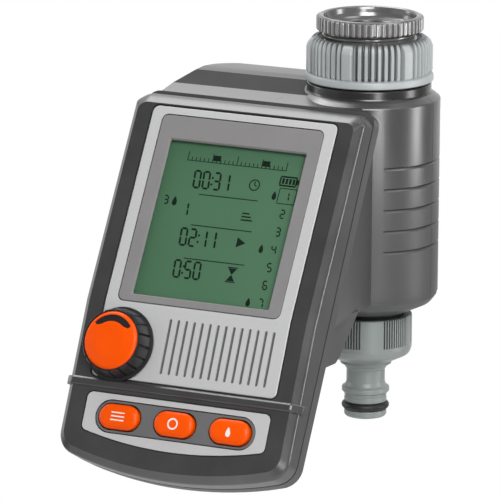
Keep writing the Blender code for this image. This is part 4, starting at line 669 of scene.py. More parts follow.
def knurl(name, inner, outer, half, low, high):
    """One rounded grip bar that stands on a cylinder."""
    rings = []
    ends = ((low, 0.28), (low + 0.25, 0.05), (low + 0.6, 0.0), (high - 0.6, 0.0), (high - 0.25, 0.06), (high, 0.3))
    for z, inset in ends:
        reach = outer - inset
        across = [(inner - 0.4, half), (reach - 0.22, half), (reach - 0.06, half * 0.74), (reach, half * 0.4),
                  (reach, -half * 0.4), (reach - 0.06, -half * 0.74), (reach - 0.22, -half), (inner - 0.4, -half)]
        rings.append(at(across, z))
    return lofted(name, rings)


def build_adapter_ring():
    profile = fillet([
        (12.9, -10.9, 0), (13.4, -9.4, 0), (13.4, -3.9, 0.15), (13.6, -3.7, 0.1), (14.8, -3.5, 0.3), (15.35, -2.9, 0.5),
        (15.85, -1.7, 0.6), (16.1, -0.5, 0.6), (16.3, 0.2, 0.4), (17.0, 0.5, 0.4), (17.7, 0.4, 0.5), (18.2, -0.2, 0.5),
        (18.2, -4.3, 0.5), (17.5, -5.0, 0.5), (16.2, -5.0, 0.2), (15.8, -5.3, 0)], 6, closed=False)
    neck = [(15.8, -6.0), (15.8, -13.4), (15.2, -14.0), (12.9, -14.0)]
    ring = turned("adapter_ring_detail", profile + neck, 144, loop=True)
    levels = [-5.0 - 0.21 * k for k in range(41)]
    outer = skin("neck_thread", levels, lambda i, a: 15.7 + 0.95 * thread_wave(a, levels[i], TAP_PITCH)
                 * min(1.0, i / 3, (40 - i) / 4), 120)
    steps = [-4.0 - 0.18 * k for k in range(36)]
    inner = skin("mouth_thread", steps + steps[::-1], lambda i, a: 13.9 if i >= 36 else 13.45 - 0.95
                 * thread_wave(a, steps[i], MOUTH_PITCH) * min(1.0, i / 4, (35 - i) / 4), 120, loop=True)
    count = 54
    teeth = grow("ring_teeth", ROUND, knurl("ring_tooth", 18.2, 18.8, 0.62, -4.75, 0.0), "ring_plastic",
                 Count=count, Groups=1, Start=radians(-61.65), Pitch=TURN / count)
    cut(outer, rod("neck_bore", 14.0, 0, -20.0, 96))
    gather(ring, outer, inner, teeth)
    dress(ring, "adapter_ring", "ring_plastic", "adapter_ring")


def nut_reach(angle):
    """Radius of the union nut's grip: six lobes, steep on one side, with seven ribs between."""
    share = (degrees(angle) + 90.7) % 60.0
    lobe = smooth(-0.6, 1.0, share) * (1 - smooth(9.4, 12.6, share)) + smooth(58.6, 60.4, share)
    rib = 0.0
    if share > 12.0:
        phase = ((share - 14.6) / 6.42) % 1.0
        rib = smooth(0.10, 0.24, phase) - smooth(0.70, 0.84, phase)
    valley = 19.3
    return max(valley + 1.9 * rib, valley + 2.9 * min(lobe, 1.0))


def build_union_nut():
    steps = 720
    plain = [nut_reach(TURN * k / steps) for k in range(steps)]
    flange = [(-22.5, 21.2), (-22.45, 22.2), (-22.1, 22.5), (-20.6, 22.45), (-20.1, 22.25), (-19.85, 21.8)]
    grip = [(-19.75, 0.5), (-19.4, 0.12), (-18.9, 0.0), (-10.8, 0.0), (-9.9, 0.2), (-8.9, 0.65), (-8.1, 1.3),
            (-7.6, 2.1), (-7.3, 2.7), (-7.2, 3.3)]

    def radius(i, a):
        if i < len(flange):
            return flange[i][1]
        reach = plain[round(a / TURN * steps) % steps]
        drawn = grip[i - len(flange)][1]
        return reach - drawn * (1.0 if reach > 21.5 else 0.55)
    nut = skin("union_nut_detail", [z for z, _ in flange + grip], radius, steps)
    cut(nut, turned("nut_bore", [(0, 0), (18.2, 0), (18.2, -7.6), (17.0, -8.8), (17.0, -19.5), (NIPPLE_HOLE, -19.5),
                                 (NIPPLE_HOLE, -30), (0, -30)], 90))
    dress(nut, "union_nut", "nut_plastic", "union_nut", angle=38.0)


# Valve housing
GROOVE_ENDS = (49.9, 50.6)
WALL_ANGLES = [-60, -56, -53, -51.2, -GROOVE_ENDS[1], -GROOVE_ENDS[0], -49, *range(-47, 48, 2), 49, *GROOVE_ENDS,
               51.2, 53, *range(56, 91, 2)]


def body_ring(z, inset, depth, groove=0.0):
    side = UNIT_HALF - SEAT_GAP - inset
    left, right = PANEL_X - side, PANEL_X + side
    front = dock_y(z, depth)
    radius, corner = CYLINDER - inset, 14.0 - inset
    outline = [(left, front), (right, front)]
    for bearing in WALL_ANGLES:
        angle = radians(bearing)
        reach = radius - groove * (1 - smooth(*GROOVE_ENDS, abs(bearing)))
        outline.append((reach * cos(angle), reach * sin(angle)))
    outline += arc(corner, pi / 2, pi, 14, left + corner, radius - corner)
    return at(outline, z)


def wall_levels():
    """Heights up the wall with their insets, and the depth of the grooves: square above, sloping below."""
    levels = [(BODY_BASE, 0.7, 0.0), (BODY_BASE + 0.2, 0.25, 0.0), (BODY_BASE + 0.7, 0.0, 0.0)]
    levels += [(BODY_BASE + 0.7 + 3.4 * k, 0.0, 0.0) for k in range(1, 5)]
    for k in reversed(range(5)):
        z = PLATFORM - 23.0 - 7.45 * k
        groove = ((-0.85, 0.0), (-0.1, 0.55), (-0.05, 1.1), (0.36, 1.1), (0.4, 0.0))
        levels += [(z + rise, 0.0, depth) for rise, depth in groove]
    levels += [(PLATFORM - 22.6 + 3.9 * k, 0.0, 0.0) for k in range(1, 5)]
    top = ((3.0, 0.0), (2.55, 0.1), (2.2, 0.38), (0.5, 2.15), (0.12, 2.6), (0.0, 3.1))
    return levels + [(PLATFORM - drop, inset, 0.0) for drop, inset in top]


def keel(name, inset):
    """Keel under the housing that runs into the dock plate."""
    height = 14.15
    top, low = BODY_BASE + (WALL + inset) * 0.6, BODY_BASE - height + inset
    depth = DOCK + SEAT_GAP if inset else DOCK / 2
    back = dock_y(BODY_BASE, DOCK) + 20.0 + height / 2 - inset
    knee = dock_y(low, DOCK) + 20.0 - inset
    soft = 0.0 if inset else 1.0
    profile = fillet([(dock_y(top, depth), top, 0), (dock_y(low, depth), low, 0), (knee - height / 4, low, 2.5 * soft),
                      (knee, low + height / 8, 2.5 * soft), (back, top, 0)], 5)
    side = UNIT_HALF - 4.0 - inset
    middle = sum(y for y, _ in profile) / len(profile)
    ends = [(side, 0.8 * soft), (side - 0.25, 0.25 * soft), (side - 0.8, 0)]
    rings = []
    for x, draw in [(-x, draw) for x, draw in ends] + ends[::-1]:
        rings.append([(PANEL_X + x, y - draw * (y > middle), z + draw * (z < BODY_BASE - 4)) for y, z in profile])
    return lofted(name, rings)


def bay_outline(margin):
    return box_outline(13.65 + margin, 10.0 - margin, 63.7 + margin)


def roof_sky(name, below=0.0):
    """Everything above the roof: it climbs from the dock to the shells' joint and falls away behind it."""
    slope = [(-40.0, -31.9), (-17.0, -27.5), (0.0, -25.6), (6.0, -25.2), (22.0, -26.4), (27.0, -27.4)]
    rings = []
    for x in (-80.0, 30.0):
        lift = 0.005 * (x + 80.0) - below
        rings.append([(x, y, z + lift) for y, z in slope] + [(x, 27.0, -15.0), (x, -40.0, -15.0)])
    return lofted(name, rings)


def build_roof():
    side = UNIT_HALF - SEAT_GAP - 0.15
    left, corner = PANEL_X - side, 13.85
    plan = [(left, -31.5), (9.0, -31.5), *arc(20.0, radians(296), radians(115), 18), (-18.0, 24.85),
            *arc(corner, pi / 2, pi, 14, left + corner, CYLINDER - 0.15 - corner)]
    roof = prism("roof", plan, PLATFORM - 6.0, -20.0)
    cut(roof, roof_sky("sky"))
    soften = roof.modifiers.new("soften", "BEVEL")
    soften.width, soften.segments = 0.0011, 3
    soften.limit_method, soften.angle_limit = "ANGLE", radians(45)
    return bake(roof)


def halves(piece, gap=0.09):
    """Front and rear half of a shell that is parted on the valve's plane."""
    rear = twin(piece, piece.name + "_rear")
    cut(rear, prism("front_side", box_outline(300, -300, gap), -300, 300))
    cut(piece, prism("rear_side", box_outline(300, -gap, 300), -300, 300))
    return piece, rear


def lying(x, y, z):
    """Frame at a point whose local z runs backwards, along +Y."""
    return shift(x, y, z) @ Matrix.Rotation(-pi / 2, 4, "X")


def build_body():
    """Walls of the housing with their hollow and holes, and the four screw bosses as shells of their own."""
    body = lofted("housing_detail", [body_ring(z, inset, RUN_GAP, groove) for z, inset, groove in wall_levels()])
    cut(body, roof_sky("sky", 0.03),
        prism("fairing_top", box_outline(11.0, -40.0, -12.0), PLATFORM - 4.6, -15.0, shift(20.0, 0, 0)))
    floor, ceiling = BODY_BASE + WALL, PLATFORM - WALL - 4.5
    hollow = [body_ring(floor + (ceiling - floor) * k / 12, WALL, DOCK) for k in range(13)]
    # the wall beside the dock slants, so the hollow's corner stands further in
    for ring in hollow:
        x, y, z = ring[1]
        ring[1] = (x - 2.2, y, z)
    cut(body, lofted("hollow", hollow))
    bosses = []
    for x, z in SHELL_SCREWS:
        wall = 24.5 if x < 0 else sqrt(CYLINDER ** 2 - (x + BOSS) ** 2) - 1.2
        profile = [(1.6, -9.0), (BOSS, -9.0), (BOSS, wall), (3.0, wall), (3.0, 10.0), (1.6, 10.0)]
        boss = turned("screw_boss", profile, 32, lying(x, 0, z), loop=True)
        within = lofted("within", [body_ring(level, 0.3, RUN_GAP) for level in (BODY_BASE + 1.0, PLATFORM - 6.0)])
        bosses.append(carve(boss, "INTERSECT", within))
        cut(body, rod("screw_well", 3.0, 9.0, 50.0, 32, lying(x, 0, z)))
    # turned a little, so that no corner of the round holes lies on the shells' joint
    twist = 0.023
    cut(body, rod("nipple_hole", NIPPLE_HOLE, 0, PLATFORM - 8, 96, start=twist))
    cut(body, rod("spigot_hole", SPIGOT_HOLE, BODY_BASE + 5, CONE_END - 3, 96, start=twist))
    return body, bosses


def build_housing():
    body, bosses = build_body()
    shoulder, rim = CYLINDER + 0.04, CYLINDER - 0.3
    collar = fillet([
        (NIPPLE_HOLE, COLLAR_TOP, 0), (COLLAR, COLLAR_TOP, 0.6), (COLLAR, PLATFORM + 0.9, 0.5),
        (22.05, PLATFORM + 0.35, 0.4), (23.2, PLATFORM - 0.4, 0.5), (24.8, PLATFORM - 1.65, 0.3),
        (shoulder, PLATFORM - 2.1, 0.3), (shoulder, PLATFORM - 5.6, 0), (NIPPLE_HOLE, PLATFORM - 5.6, 0)], 6)
    cone = fillet([
        (SPIGOT_HOLE, BODY_BASE + 1.2, 0), (rim, BODY_BASE + 1.2, 0), (rim, BODY_BASE - 0.5, 1.0),
        (22.6, BODY_BASE - 3.2, 3.0), (15.5, CONE_END, 0.5), (SPIGOT_HOLE, CONE_END, 0)], 6)
    front, rear = halves(body)
    front.name, rear.name = "front_shell_detail", "rear_shell_detail"
    join(front, keel("keel", 0.0))
    cut(front, keel("keel_hollow", WALL))
    soft_edge = [(0.5, -DOCK), (0.15, -DOCK + 0.12), (0.0, -DOCK + 0.5), (0.0, -0.35)]
    dock = bevelled("dock", unit_outline, soft_edge, SEAM)
    join(front, prism("pocket", bay_outline(3.4), -20.1, -2.5, SEAM))
    for piece in (front, dock):
        cut(piece, prism("pocket_hollow", bay_outline(1.8), -18.5, DOCK, SEAM))
        cut(piece, prism("terminal_seat", stadium(0, TERMINAL_ROW, 10.9, 2.9), -1.8, DOCK, SEAM))
        cut(piece, rod("lead_hole", 1.0, -10.0, 0.0, 20, SEAM @ shift(0, TERMINAL_ROW, 0)))
    gather(front, dock)
    rounds = [turned("collar", collar, 144, loop=True), turned("cone", cone, 144, loop=True)]
    for piece in (build_roof(), *rounds, *bosses):
        near, far = halves(piece)
        gather(front, near)
        gather(rear, far)
    dress(front, "housing", "housing_plastic", "front_shell", angle=28.0)
    dress(rear, "housing", "housing_plastic", "rear_shell", angle=28.0)


def four(name):
    return [f"{name}_{i}" for i in range(1, 5)]


def cross_screw(name, shank, head, height, length):
    """Pan-head screw along +Z with its seat at zero: domed head, cross recess and pointed shank."""
    profile = fillet([(0, height, 0), (head * 0.55, height, 0.5), (head, height * 0.35, 0.4), (head, 0, 0),
                      (shank, 0, 0), (shank, -length + shank, 0), (0, -length, 0)], 4, closed=False)
    screw = turned(name, profile, 28)
    arm, deep = head * 0.58, height * 0.6
    for half_x, half_y in ((arm, head * 0.13), (head * 0.13, arm)):
        cut(screw, prism("recess", box_outline(half_x, -half_y, half_y), height - deep, height + 1))
    return screw


def build_screws():
    (left, high), (right, low) = SHELL_SCREWS[1], SHELL_SCREWS[2]
    shell = grow("shell_screws", CORNERS, cross_screw("shell_screw", 1.25, 2.6, 1.8, 17.5), "steel",
                 lying(0, 10.3, 0), Left=left * MM, Right=right * MM, Low=-low * MM, High=-high * MM)
    dress(shell, "housing", "steel", *four("shell_screw"))
    lay = SEAM @ shift(0, 0, 1.1) @ Matrix.Rotation(pi, 4, "X")
    cover = grow("cover_screws", CORNERS, cross_screw("cover_screw", 0.95, 1.9, 0.7, 3.9), "steel", lay,
                 Left=-0.0382, Right=0.0382, Low=-0.0715, High=0.0390)
    dress(cover, "control_unit", "steel", *four("cover_screw"))


def build_spring():
    """Coil behind the plunger: four turns of round wire."""
    turns, steps, reach, wire, axis_height = 4, 24, 2.55, 0.35, -62.8
    low, high = -52.36 + wire, -44.92 - wire
    section = [(wire * sin(t), reach + wire * cos(t)) for t in (pi * i / 4 for i in range(8))]
    rings = []
    for k in range(turns * steps + 1):
        turn = TURN * k / steps
        x = low + (high - low) * k / (turns * steps)
        rings.append([(x + along, out * cos(turn), axis_height + out * sin(turn)) for along, out in section])
    spring = dress(lofted("plunger_spring_detail", rings), "housing", "steel", "plunger_spring", angle=60.0)
    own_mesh(spring)


# Outlet connector
def build_connector():
    profile = fillet([
        (4.5, -143.8, 0), (5.6, -143.8, 0.3), (7.0, -143.4, 0.6), (7.5, -142.7, 0.5), (7.5, -141.0, 0.15),
        (5.2, -141.0, 0), (5.2, -138.0, 0), (7.5, -138.0, 0.15), (7.5, -136.6, 0.2), (7.25, -136.4, 0.1),
        (7.25, -135.9, 0.1), (7.5, -135.7, 0.1), (7.5, -134.9, 0.2), (8.1, -134.6, 0.2), (8.4, -134.3, 0.2),
        (8.4, -132.9, 0.4), (7.3, -132.3, 0.5), (6.8, -130.9, 0.8), (6.8, -126.2, 0.5), (7.3, -125.8, 0.2),
        (7.4, -125.2, 0.4), (8.4, -124.6, 0.4), (9.1, -124.2, 0.2), (9.1, -123.0, 0.4), (10.6, -122.6, 1.2),
        (15.4, -120.3, 2.6), (16.15, -118.0, 1.0), (16.1, -106.5, 0.4), (15.6, -106.0, 0.1), (13.5, -106.0, 0),
        (13.5, -117.5, 0), (4.5, -117.5, 0)], 5)
    connector = turned("connector_detail", profile, 132, loop=True)
    half = 16.1 * radians(3.64) * 0.27
    across = [(15.4, -half), (15.55, -half * 0.95), (16.0, -half), (16.5, -half * 1.4),
              (16.5, half * 1.4), (16.0, half), (15.55, half * 0.95), (15.4, half)]
    first_gap = -70.1 + 28.4 + 1.82
    for start in (first_gap, first_gap + 39.6 + 12.4):
        gap = prism("rib_gap", across, -116.4, -105.0)
        gaps = grow("rib_gaps", ROUND, gap, "connector_plastic", Count=11, Groups=3,
                    Start=radians(start), Pitch=radians(3.6))
        cut(connector, gaps)
    dress(connector, "outlet_connector", "connector_plastic", "outlet_connector", angle=26.0)
    ring = [(7.0 + 1.42 * cos(a), -139.5 + 1.36 * sin(a)) for a in (pi * k / 8 for k in range(16))]
    seal = turned("connector_seal", ring, 96, loop=True)
    dress(seal, "outlet_connector", "seal_rubber", "connector_oring")


# Control unit
def crease_ends(outline):
    """Numbers of the two outline points on the fold of the front."""
    return [i for i, (_, y) in enumerate(outline) if abs(y) < 1e-6]


def folded(name, outlines, sinks):
    """Sheet that follows the folded front, through outlines at given depths below it."""
    rings = [[(x, y, front_z(y, sink)) for x, y in outline] for outline, sink in zip(outlines, sinks)]
    return lofted(name, rings, SEAM, fold=crease_ends(outlines[0]))


def faceplate_outline(margin):
    half, low, high, radius = 35.9 + margin, -26.8 - margin, 71.4 + margin, 2.2 + margin
    return fillet([(-half, low, radius), (half, low, radius), (half, 0, 0), (half, high, radius),
                   (-half, high, radius), (-half, 0, 0)], 6)


def key_plate_outline(margin):
    radius = 2.2 + margin
    return arched(35.5 + margin, -32.4 + margin, 49.9 + margin, UNIT_ARC, radius, radius, crease=False, steps=6)


def pad_outline(margin):
    return stadium(0, KEY_ROW, 30.8 + margin, 5.6 + margin)


def key_cutters(low, high):
    return [prism("key_opening", stadium(u, v, 8.4, 4.8), low, high, KEYS) for u, v in KEY_PLACES]


def display_outline(margin):
    return box_outline(31.4 + margin, 0.5 - margin, 68.6 + margin, 2.2 + margin, 6)


def cover_shell():
    """Outer form of the front cover: its sides, its rolled top edge and the folded front."""
    outline = unit_outline(0.0)
    rings = [at(unit_outline(0.15, 2.15), 0.3), at(unit_outline(0.0, 2.0), 0.45)]
    side = ((0.0, 3.3), (0.05, 2.75), (0.22, 2.35), (0.5, 2.0), (1.0, 1.5), (1.5, 1.0), (2.0, 0.5), (2.5, 0.0))
    roll = ((2.0, 7.6), (2.05, 6.6), (2.25, 5.5), (2.65, 4.4), (3.3, 3.3), (4.3, 2.2), (5.5, 1.1), (6.9, 0.05))
    rounding = [smooth(UNIT_TOP - 5.0, UNIT_TOP - 0.3, y) for _, y in outline]
    for (inset, sink), (drop, fall) in zip(side, roll):
        points = zip(unit_outline(inset, drop), rounding)
        rings.append([(x, y, front_z(y, sink + (fall - sink) * t)) for (x, y), t in points])
    return lofted("front_cover_detail", rings, SEAM, fold=crease_ends(outline))


def trim_bar():
    """Raised bar across the cover between the two plates."""
    half = UNIT_HALF + 1.2
    section = fillet([(-half, -5.0, 0), (-half, -2.6, 0.5), (-half + 3.2, 1.0, 1.6), (half - 3.2, 1.0, 1.6),
                      (half, -2.6, 0.5), (half, -5.0, 0)], 6)
    edges = ((-30.7, 1.1), (-30.6, 0.55), (-30.3, 0.2), (-29.9, 0.0), (-28.4, 0.0), (-28.0, 0.2), (-27.7, 0.55),
             (-27.6, 1.1))
    rings = [[(x * (1 - drop * 0.004), v, z - drop * (z > -2.0)) for x, z in section] for v, drop in edges]
    return lofted("trim_bar", rings, KEYS)


def build_front_cover():
    cover = cover_shell()
    join(cover, trim_bar())
    for drop, sink in ((3.6, 5.4), (7.8, 2.2)):
        hollow = unit_outline(3.2, drop)
        rings = [at(hollow, -DOCK), [(x, y, front_z(y, sink)) for x, y in hollow]]
        cut(cover, lofted("cover_hollow", rings, SEAM, fold=crease_ends(hollow)))
    cut(cover, prism("cover_rim", unit_outline(1.8, 3.2), -DOCK, 3.4, SEAM))
    sink = 1.0
    seat = faceplate_outline(0.6)
    cut(cover, folded("faceplate_seat", [seat, seat], [sink, -2.0]))
    cut(cover, prism("key_plate_seat", key_plate_outline(0.4), -sink, 2.0, KEYS))
    cut(cover, prism("display_hole", display_outline(0.3), -6.0, 2.0, DISPLAY))
    cut(cover, prism("pad_seat", pad_outline(0.3), -1.3, 2.0, KEYS))
    cut(cover, *key_cutters(-6.0, 2.0))
    cut(cover, rod("shaft_opening", SHAFT_HOLE, 2, -6, 32, KNOB))
    dress(cover, "control_unit", "cover_plastic", "control_front_cover", angle=24.0)


def build_plates():
    edges = [faceplate_outline(margin) for margin in (0.0, 0.0, -0.2, -0.5)]
    plate = folded("faceplate_detail", edges, [0.7, 0.15, -0.05, -0.1])
    cut(plate, prism("faceplate_window", display_outline(0.3), -3.0, 3.0, DISPLAY))
    cut(plate, rod("faceplate_shaft", SHAFT_HOLE, 2, -2, 32, KNOB))
    upright = shift(0, -13.8, 0) @ Matrix.Rotation(pi / 2, 4, "Z")
    slot = prism("slot_cutter", stadium(0, 0, 9.7, 0.52, 6), -0.35, 2.0, upright)
    cut(plate, grow("grille_slots", ROW, slot, "silver_plastic", KEYS, Count=14, Centre=0.0108, Pitch=0.00308))
    dress(plate, "control_unit", "silver_plastic", "faceplate")
    levels = [(0.0, -0.7), (0.0, -0.1), (-0.1, 0.06), (-0.3, 0.1)]
    lower = bevelled("key_plate_detail", key_plate_outline, levels, KEYS)
    cut(lower, prism("key_plate_window", pad_outline(0.3), -3.0, 3.0, KEYS))
    dress(lower, "control_unit", "silver_plastic", "key_plate")
    levels = [(0.0, -1.0), (0.0, -0.3), (-0.1, -0.1), (-0.35, 0.0)]
    surround = bevelled("button_pad_detail", pad_outline, levels, KEYS)
    cut(surround, *key_cutters(-3.0, 3.0))
    dress(surround, "control_unit", "pad_plastic", "button_surround")


def build_display_frame():
    def opening(margin):
        return box_outline(26.4 + margin, 3.3 - margin, 59.8 + margin, 0.6, 4)
    levels = [(0.0, -3.7), (0.0, -0.15), (-0.1, 0.04), (-0.3, 0.1)]
    body = bevelled("display_frame_detail", display_outline, levels, DISPLAY)
    cut(body, bevelled("view_cutter", opening, [(0.0, -6.0), (0.0, -0.5), (0.5, 0.12), (0.9, 1.0)], DISPLAY))
    cut(body, prism("frame_pocket", box_outline(28.8, 2.1, 62.2), -6.0, -0.9, DISPLAY))
    dress(body, "control_unit", "trim_plastic", "display_frame", angle=24.0)


# Marks on the display: seven-segment numbers, rules and plain signs
SEGMENTS = dict(zip("01234567", ("abcdef", "bc", "abged", "abgcd", "fgbc", "afgcd", "afgedc", "abc")))


def flat_marks(name, outlines, low, high, place):
    """Thin flat plates of convex outlines in one mesh."""
    shape = bmesh.new()
    for outline in outlines:
        rings = [[shape.verts.new(point) for point in at(outline, z)] for z in (low, high)]
        band(shape, *rings)
        for ring in rings:
            shape.faces.new(ring)
    return solid(name, shape, place)


def stroke(x0, y0, x1, y1, half):
    """Six-cornered bar between two points, as display segments have it."""
    along = Vector((x1 - x0, y1 - y0)).normalized() * half
    side = Vector((-along.y, along.x))
    a, b = Vector((x0, y0)), Vector((x1, y1))
    return [tuple(p) for p in (a, a + along - side, b - along - side, b, b - along + side, a + along + side)]


def digit(sign, x, y, width, height, half, lean=0.09):
    w, h, g = width, height, half * 0.25
    lines = {"a": (g, h, w - g, h), "b": (w, h / 2 + g, w, h - g), "c": (w, g, w, h / 2 - g), "d": (g, 0, w - g, 0),
             "e": (0, g, 0, h / 2 - g), "f": (0, h / 2 + g, 0, h - g), "g": (g, h / 2, w - g, h / 2)}
    outlines = []
    for key in SEGMENTS[sign]:
        outlines.append([(x + px - lean * py, y + py) for px, py in stroke(*lines[key], half)])
    return outlines


def droplet(x, y, size):
    turn = [TURN * k / 16 for k in range(16)]
    return [(x + size * 0.52 * sin(t) * sin(t / 2), y + size * 0.75 * cos(t)) for t in turn]


def ring_marks(x, y, radius, half, steps=20):
    marks = []
    for k in range(steps):
        a, b = TURN * k / steps, TURN * (k + 1) / steps
        marks.append([(x + r * cos(t), y + r * sin(t)) for r, t in
                      ((radius - half, a), (radius + half, a), (radius + half, b), (radius - half, b))])
    return marks


def bar_mark(x0, y0, x1, y1):
    return [(x0, y0), (x1, y0), (x1, y1), (x0, y1)]


def frame_marks(x0, y0, x1, y1, half):
    return [bar_mark(x0, y0 - half, x1, y0 + half), bar_mark(x0, y1 - half, x1, y1 + half),
            bar_mark(x0 - half, y0 + half, x0 + half, y1 - half), bar_mark(x1 - half, y0 + half, x1 + half, y1 - half)]


def number(text, x, y, width, height, gap, half):
    marks = []
    for sign in text:
        if sign == ":":
            left, half_dot = x - gap * 0.3, 0.35
            for foot in (y + height * 0.22, y + height * 0.62):
                marks.append(bar_mark(left - half_dot, foot, left + half_dot, foot + 2 * half_dot))
            x += gap * 0.5
        else:
            marks += digit(sign, x, y, width, height, half)
            x += width + gap
    return marks


def display_marks():
    large = (2.3, 6.0, 1.25, 0.36)
    marks = number("00:31", -14.6, 44.2, *large) + number("1", -16.6, 33.8, 2.3, 4.6, 1.2, 0.34)
    marks += number("02:11", -14.4, 23.2, *large) + number("0:50", -13.8, 11.6, *large)
    for v, low, high in ((41.9, -11.7, 11.3), (30.7, -11.8, 11.8), (18.6, -11.4, 12.2)):
        marks.append(bar_mark(low, v - 0.16, high, v + 0.16))
    # hour scale along the top: a base line, a tick for each hour and two filled watering times
    marks.append(bar_mark(-19.4, 53.6, 19.4, 53.85))
    for k in range(25):
        u = -19.2 + 1.6 * k
        marks.append(bar_mark(u - 0.14, 53.85, u + 0.14, 56.9 if k % 6 == 0 else 55.1))
    marks += [bar_mark(-9.4, 54.4, -6.6, 56.4), bar_mark(9.8, 54.4, 12.6, 56.4)]
    # battery sign, weekday column with numbers, droplets on the watering days
    marks += frame_marks(18.0, 48.4, 24.2, 51.6, 0.28) + [bar_mark(24.5, 49.2, 25.2, 50.8)]
    marks += [bar_mark(18.7 + 1.35 * k, 49.0, 19.6 + 1.35 * k, 51.0) for k in range(4)]
    marks += frame_marks(18.6, 41.9, 25.2, 47.4, 0.14)
    for k in range(7):
        v = 43.2 - 6.45 * k
        marks += digit(str(k + 1), 21.2, v, 1.5, 2.9, 0.24)
        if k in (0, 3, 6):
            marks.append(droplet(17.0, v + 1.3, 2.1))
    marks.append(droplet(-20.3, 38.6, 2.3))
    marks += digit("3", -24.2, 37.3, 1.4, 2.8, 0.24)
    # signs for clock, programme, start and run time beside the rows
    clock = (8.6, 47.4)
    marks += ring_marks(*clock, 1.9, 0.2) + [stroke(*clock, *tip, 0.2) for tip in ((8.6, 48.8), (9.6, 47.0))]
    marks += [bar_mark(6.6, 34.3 + 1.2 * k, 11.0 - 0.8 * k, 34.8 + 1.2 * k) for k in range(3)]
    marks.append([(7.2, 24.6), (10.6, 26.4), (7.2, 28.2)])
    marks += [[(6.6, foot), (9.8, foot), (8.35, tip), (8.05, tip)] for foot, tip in ((16.9, 14.8), (12.4, 14.5))]
    marks += [bar_mark(6.3, 17.05, 10.1, 17.4), bar_mark(6.3, 11.9, 10.1, 12.25)]
    plates = flat_marks("display_marks", marks, -2.49, -2.45, DISPLAY)
    dress(plates, "control_unit", "lcd_glass", look=MARK_INK)


# Selector knob and buttons
def build_knob():
    ribs = 18
    profile = [(0.5, 11.6, 0.0), (0.55, 12.8, 0.0), (0.75, 13.1, 0.0), (1.15, 13.1, 0.0), (1.4, 12.95, 0.0),
               (1.5, 12.5, 0.0), (1.55, 12.25, 1.0), (4.6, 11.75, 1.0), (6.6, 11.3, 0.95), (7.3, 11.0, 0.8),
               (7.7, 10.75, 0.45), (7.8, 10.45, 0.0)]

    def radius(i, a):
        _, reach, depth = profile[i]
        share = (a / TURN * ribs + 0.2) % 1.0
        gap = smooth(0.0, 0.07, share) - smooth(0.13, 0.2, share)
        return reach - 0.7 * depth * gap
    knob = skin("knob_skirt", [z for z, _, _ in profile], radius, 320, KNOB)
    seat = [(0, 12), (10.35, 12), (10.35, 5.5), (3.3, 5.5), (3.3, 0), (0, 0)]
    cut(knob, turned("cap_seat", seat, 80, KNOB, start=0.01))
    dress(knob, "selector_knob", "knob_plastic", "selector_knob", angle=34.0)
    dome = fillet([(0, 9.1, 0), (5.5, 8.95, 4.0), (9.5, 8.35, 1.4), (10.25, 7.5, 0.5), (10.25, 5.8, 0), (0, 5.8, 0)],
                  7, closed=False)
    cap = turned("knob_cap_detail", dome, 120, KNOB)

    def crescent(grow_by):
        outer = arc(8.9 + grow_by, radians(38), radians(142), 30)
        x, y = 7.75 * cos(radians(143.5)), 7.75 * sin(radians(143.5))
        inner = arc(6.5 - grow_by, radians(128), radians(52), 24)
        return outer + [(x, y)] + inner + [(-x, y)]
    cut(cap, prism("mark_cutter", crescent(0.0), 7.9, 10.0, KNOB))
    dress(cap, "selector_knob", "orange_plastic", "knob_cap", angle=34.0)
    mark = prism("knob_pointer", crescent(-0.05), 7.85, 8.1, KNOB)
    dress(mark, "selector_knob", "knob_plastic")


def build_buttons():
    signs = {
        "menu_button": [bar_mark(-2.6, 1.1 - 1.3 * k, 2.6, 1.55 - 1.3 * k) for k in range(3)],
        "ok_button": ring_marks(0, 0, 1.75, 0.3, 28),
        "manual_button": [droplet(0.0, -0.2, 2.3)],
    }
    levels = [(0.0, -1.5), (0.0, 0.4), (0.1, 0.75), (0.35, 1.1), (0.75, 1.4), (1.3, 1.62), (2.0, 1.75), (2.8, 1.8),
              (3.5, 1.81)]
    for (name, marks), (u, v) in zip(signs.items(), KEY_PLACES):
        place = KEYS @ shift(u, v, 0)
        button = bevelled(name + "_detail", lambda inset: stadium(-0.15, 0, 7.65 - inset, 4.35 - inset), levels, place)
        dress(button, name, "orange_plastic", name, angle=40.0)
        sign = flat_marks(name + "_sign", marks, 1.6, 1.815, place)
        dress(sign, name, "orange_plastic", look=WHITE_INK)


# Solids that keep their own shape
KEPT = {
    "valve_plastic": ["valve_block", "valve_bonnet"],
    "steel": [*four("bonnet_screw"), "solenoid_yoke", "solenoid_plunger", "encoder_shaft"],
    "seal_rubber": ["nipple_seal", "nut_washer", "diaphragm", "tap_washer", "outlet_washer", "cover_gasket"],
    "ring_plastic": ["inlet_nipple"], "strainer_mesh": ["inlet_strainer"], "coil_moulding": ["solenoid_coil"],
    "lead_jacket": ["solenoid_lead", "battery_snap"], "contact_brass": ["dock_terminal", "contact_header"],
    "cover_plastic": ["control_back_cover"], "window_clear": ["display_window"], "lcd_glass": ["lcd_panel"],
    "lcd_carrier": ["lcd_holder"], "board_laminate": ["circuit_board"], "encoder_case": ["encoder_body"],
    "key_rubber": ["button_mat"], "battery_case": ["battery"],
}


def finish_kept_solids():
    for slot, names in KEPT.items():
        for name in names:
            for holder in NODES[name].material_slots:
                holder.material = LOOKS[slot]


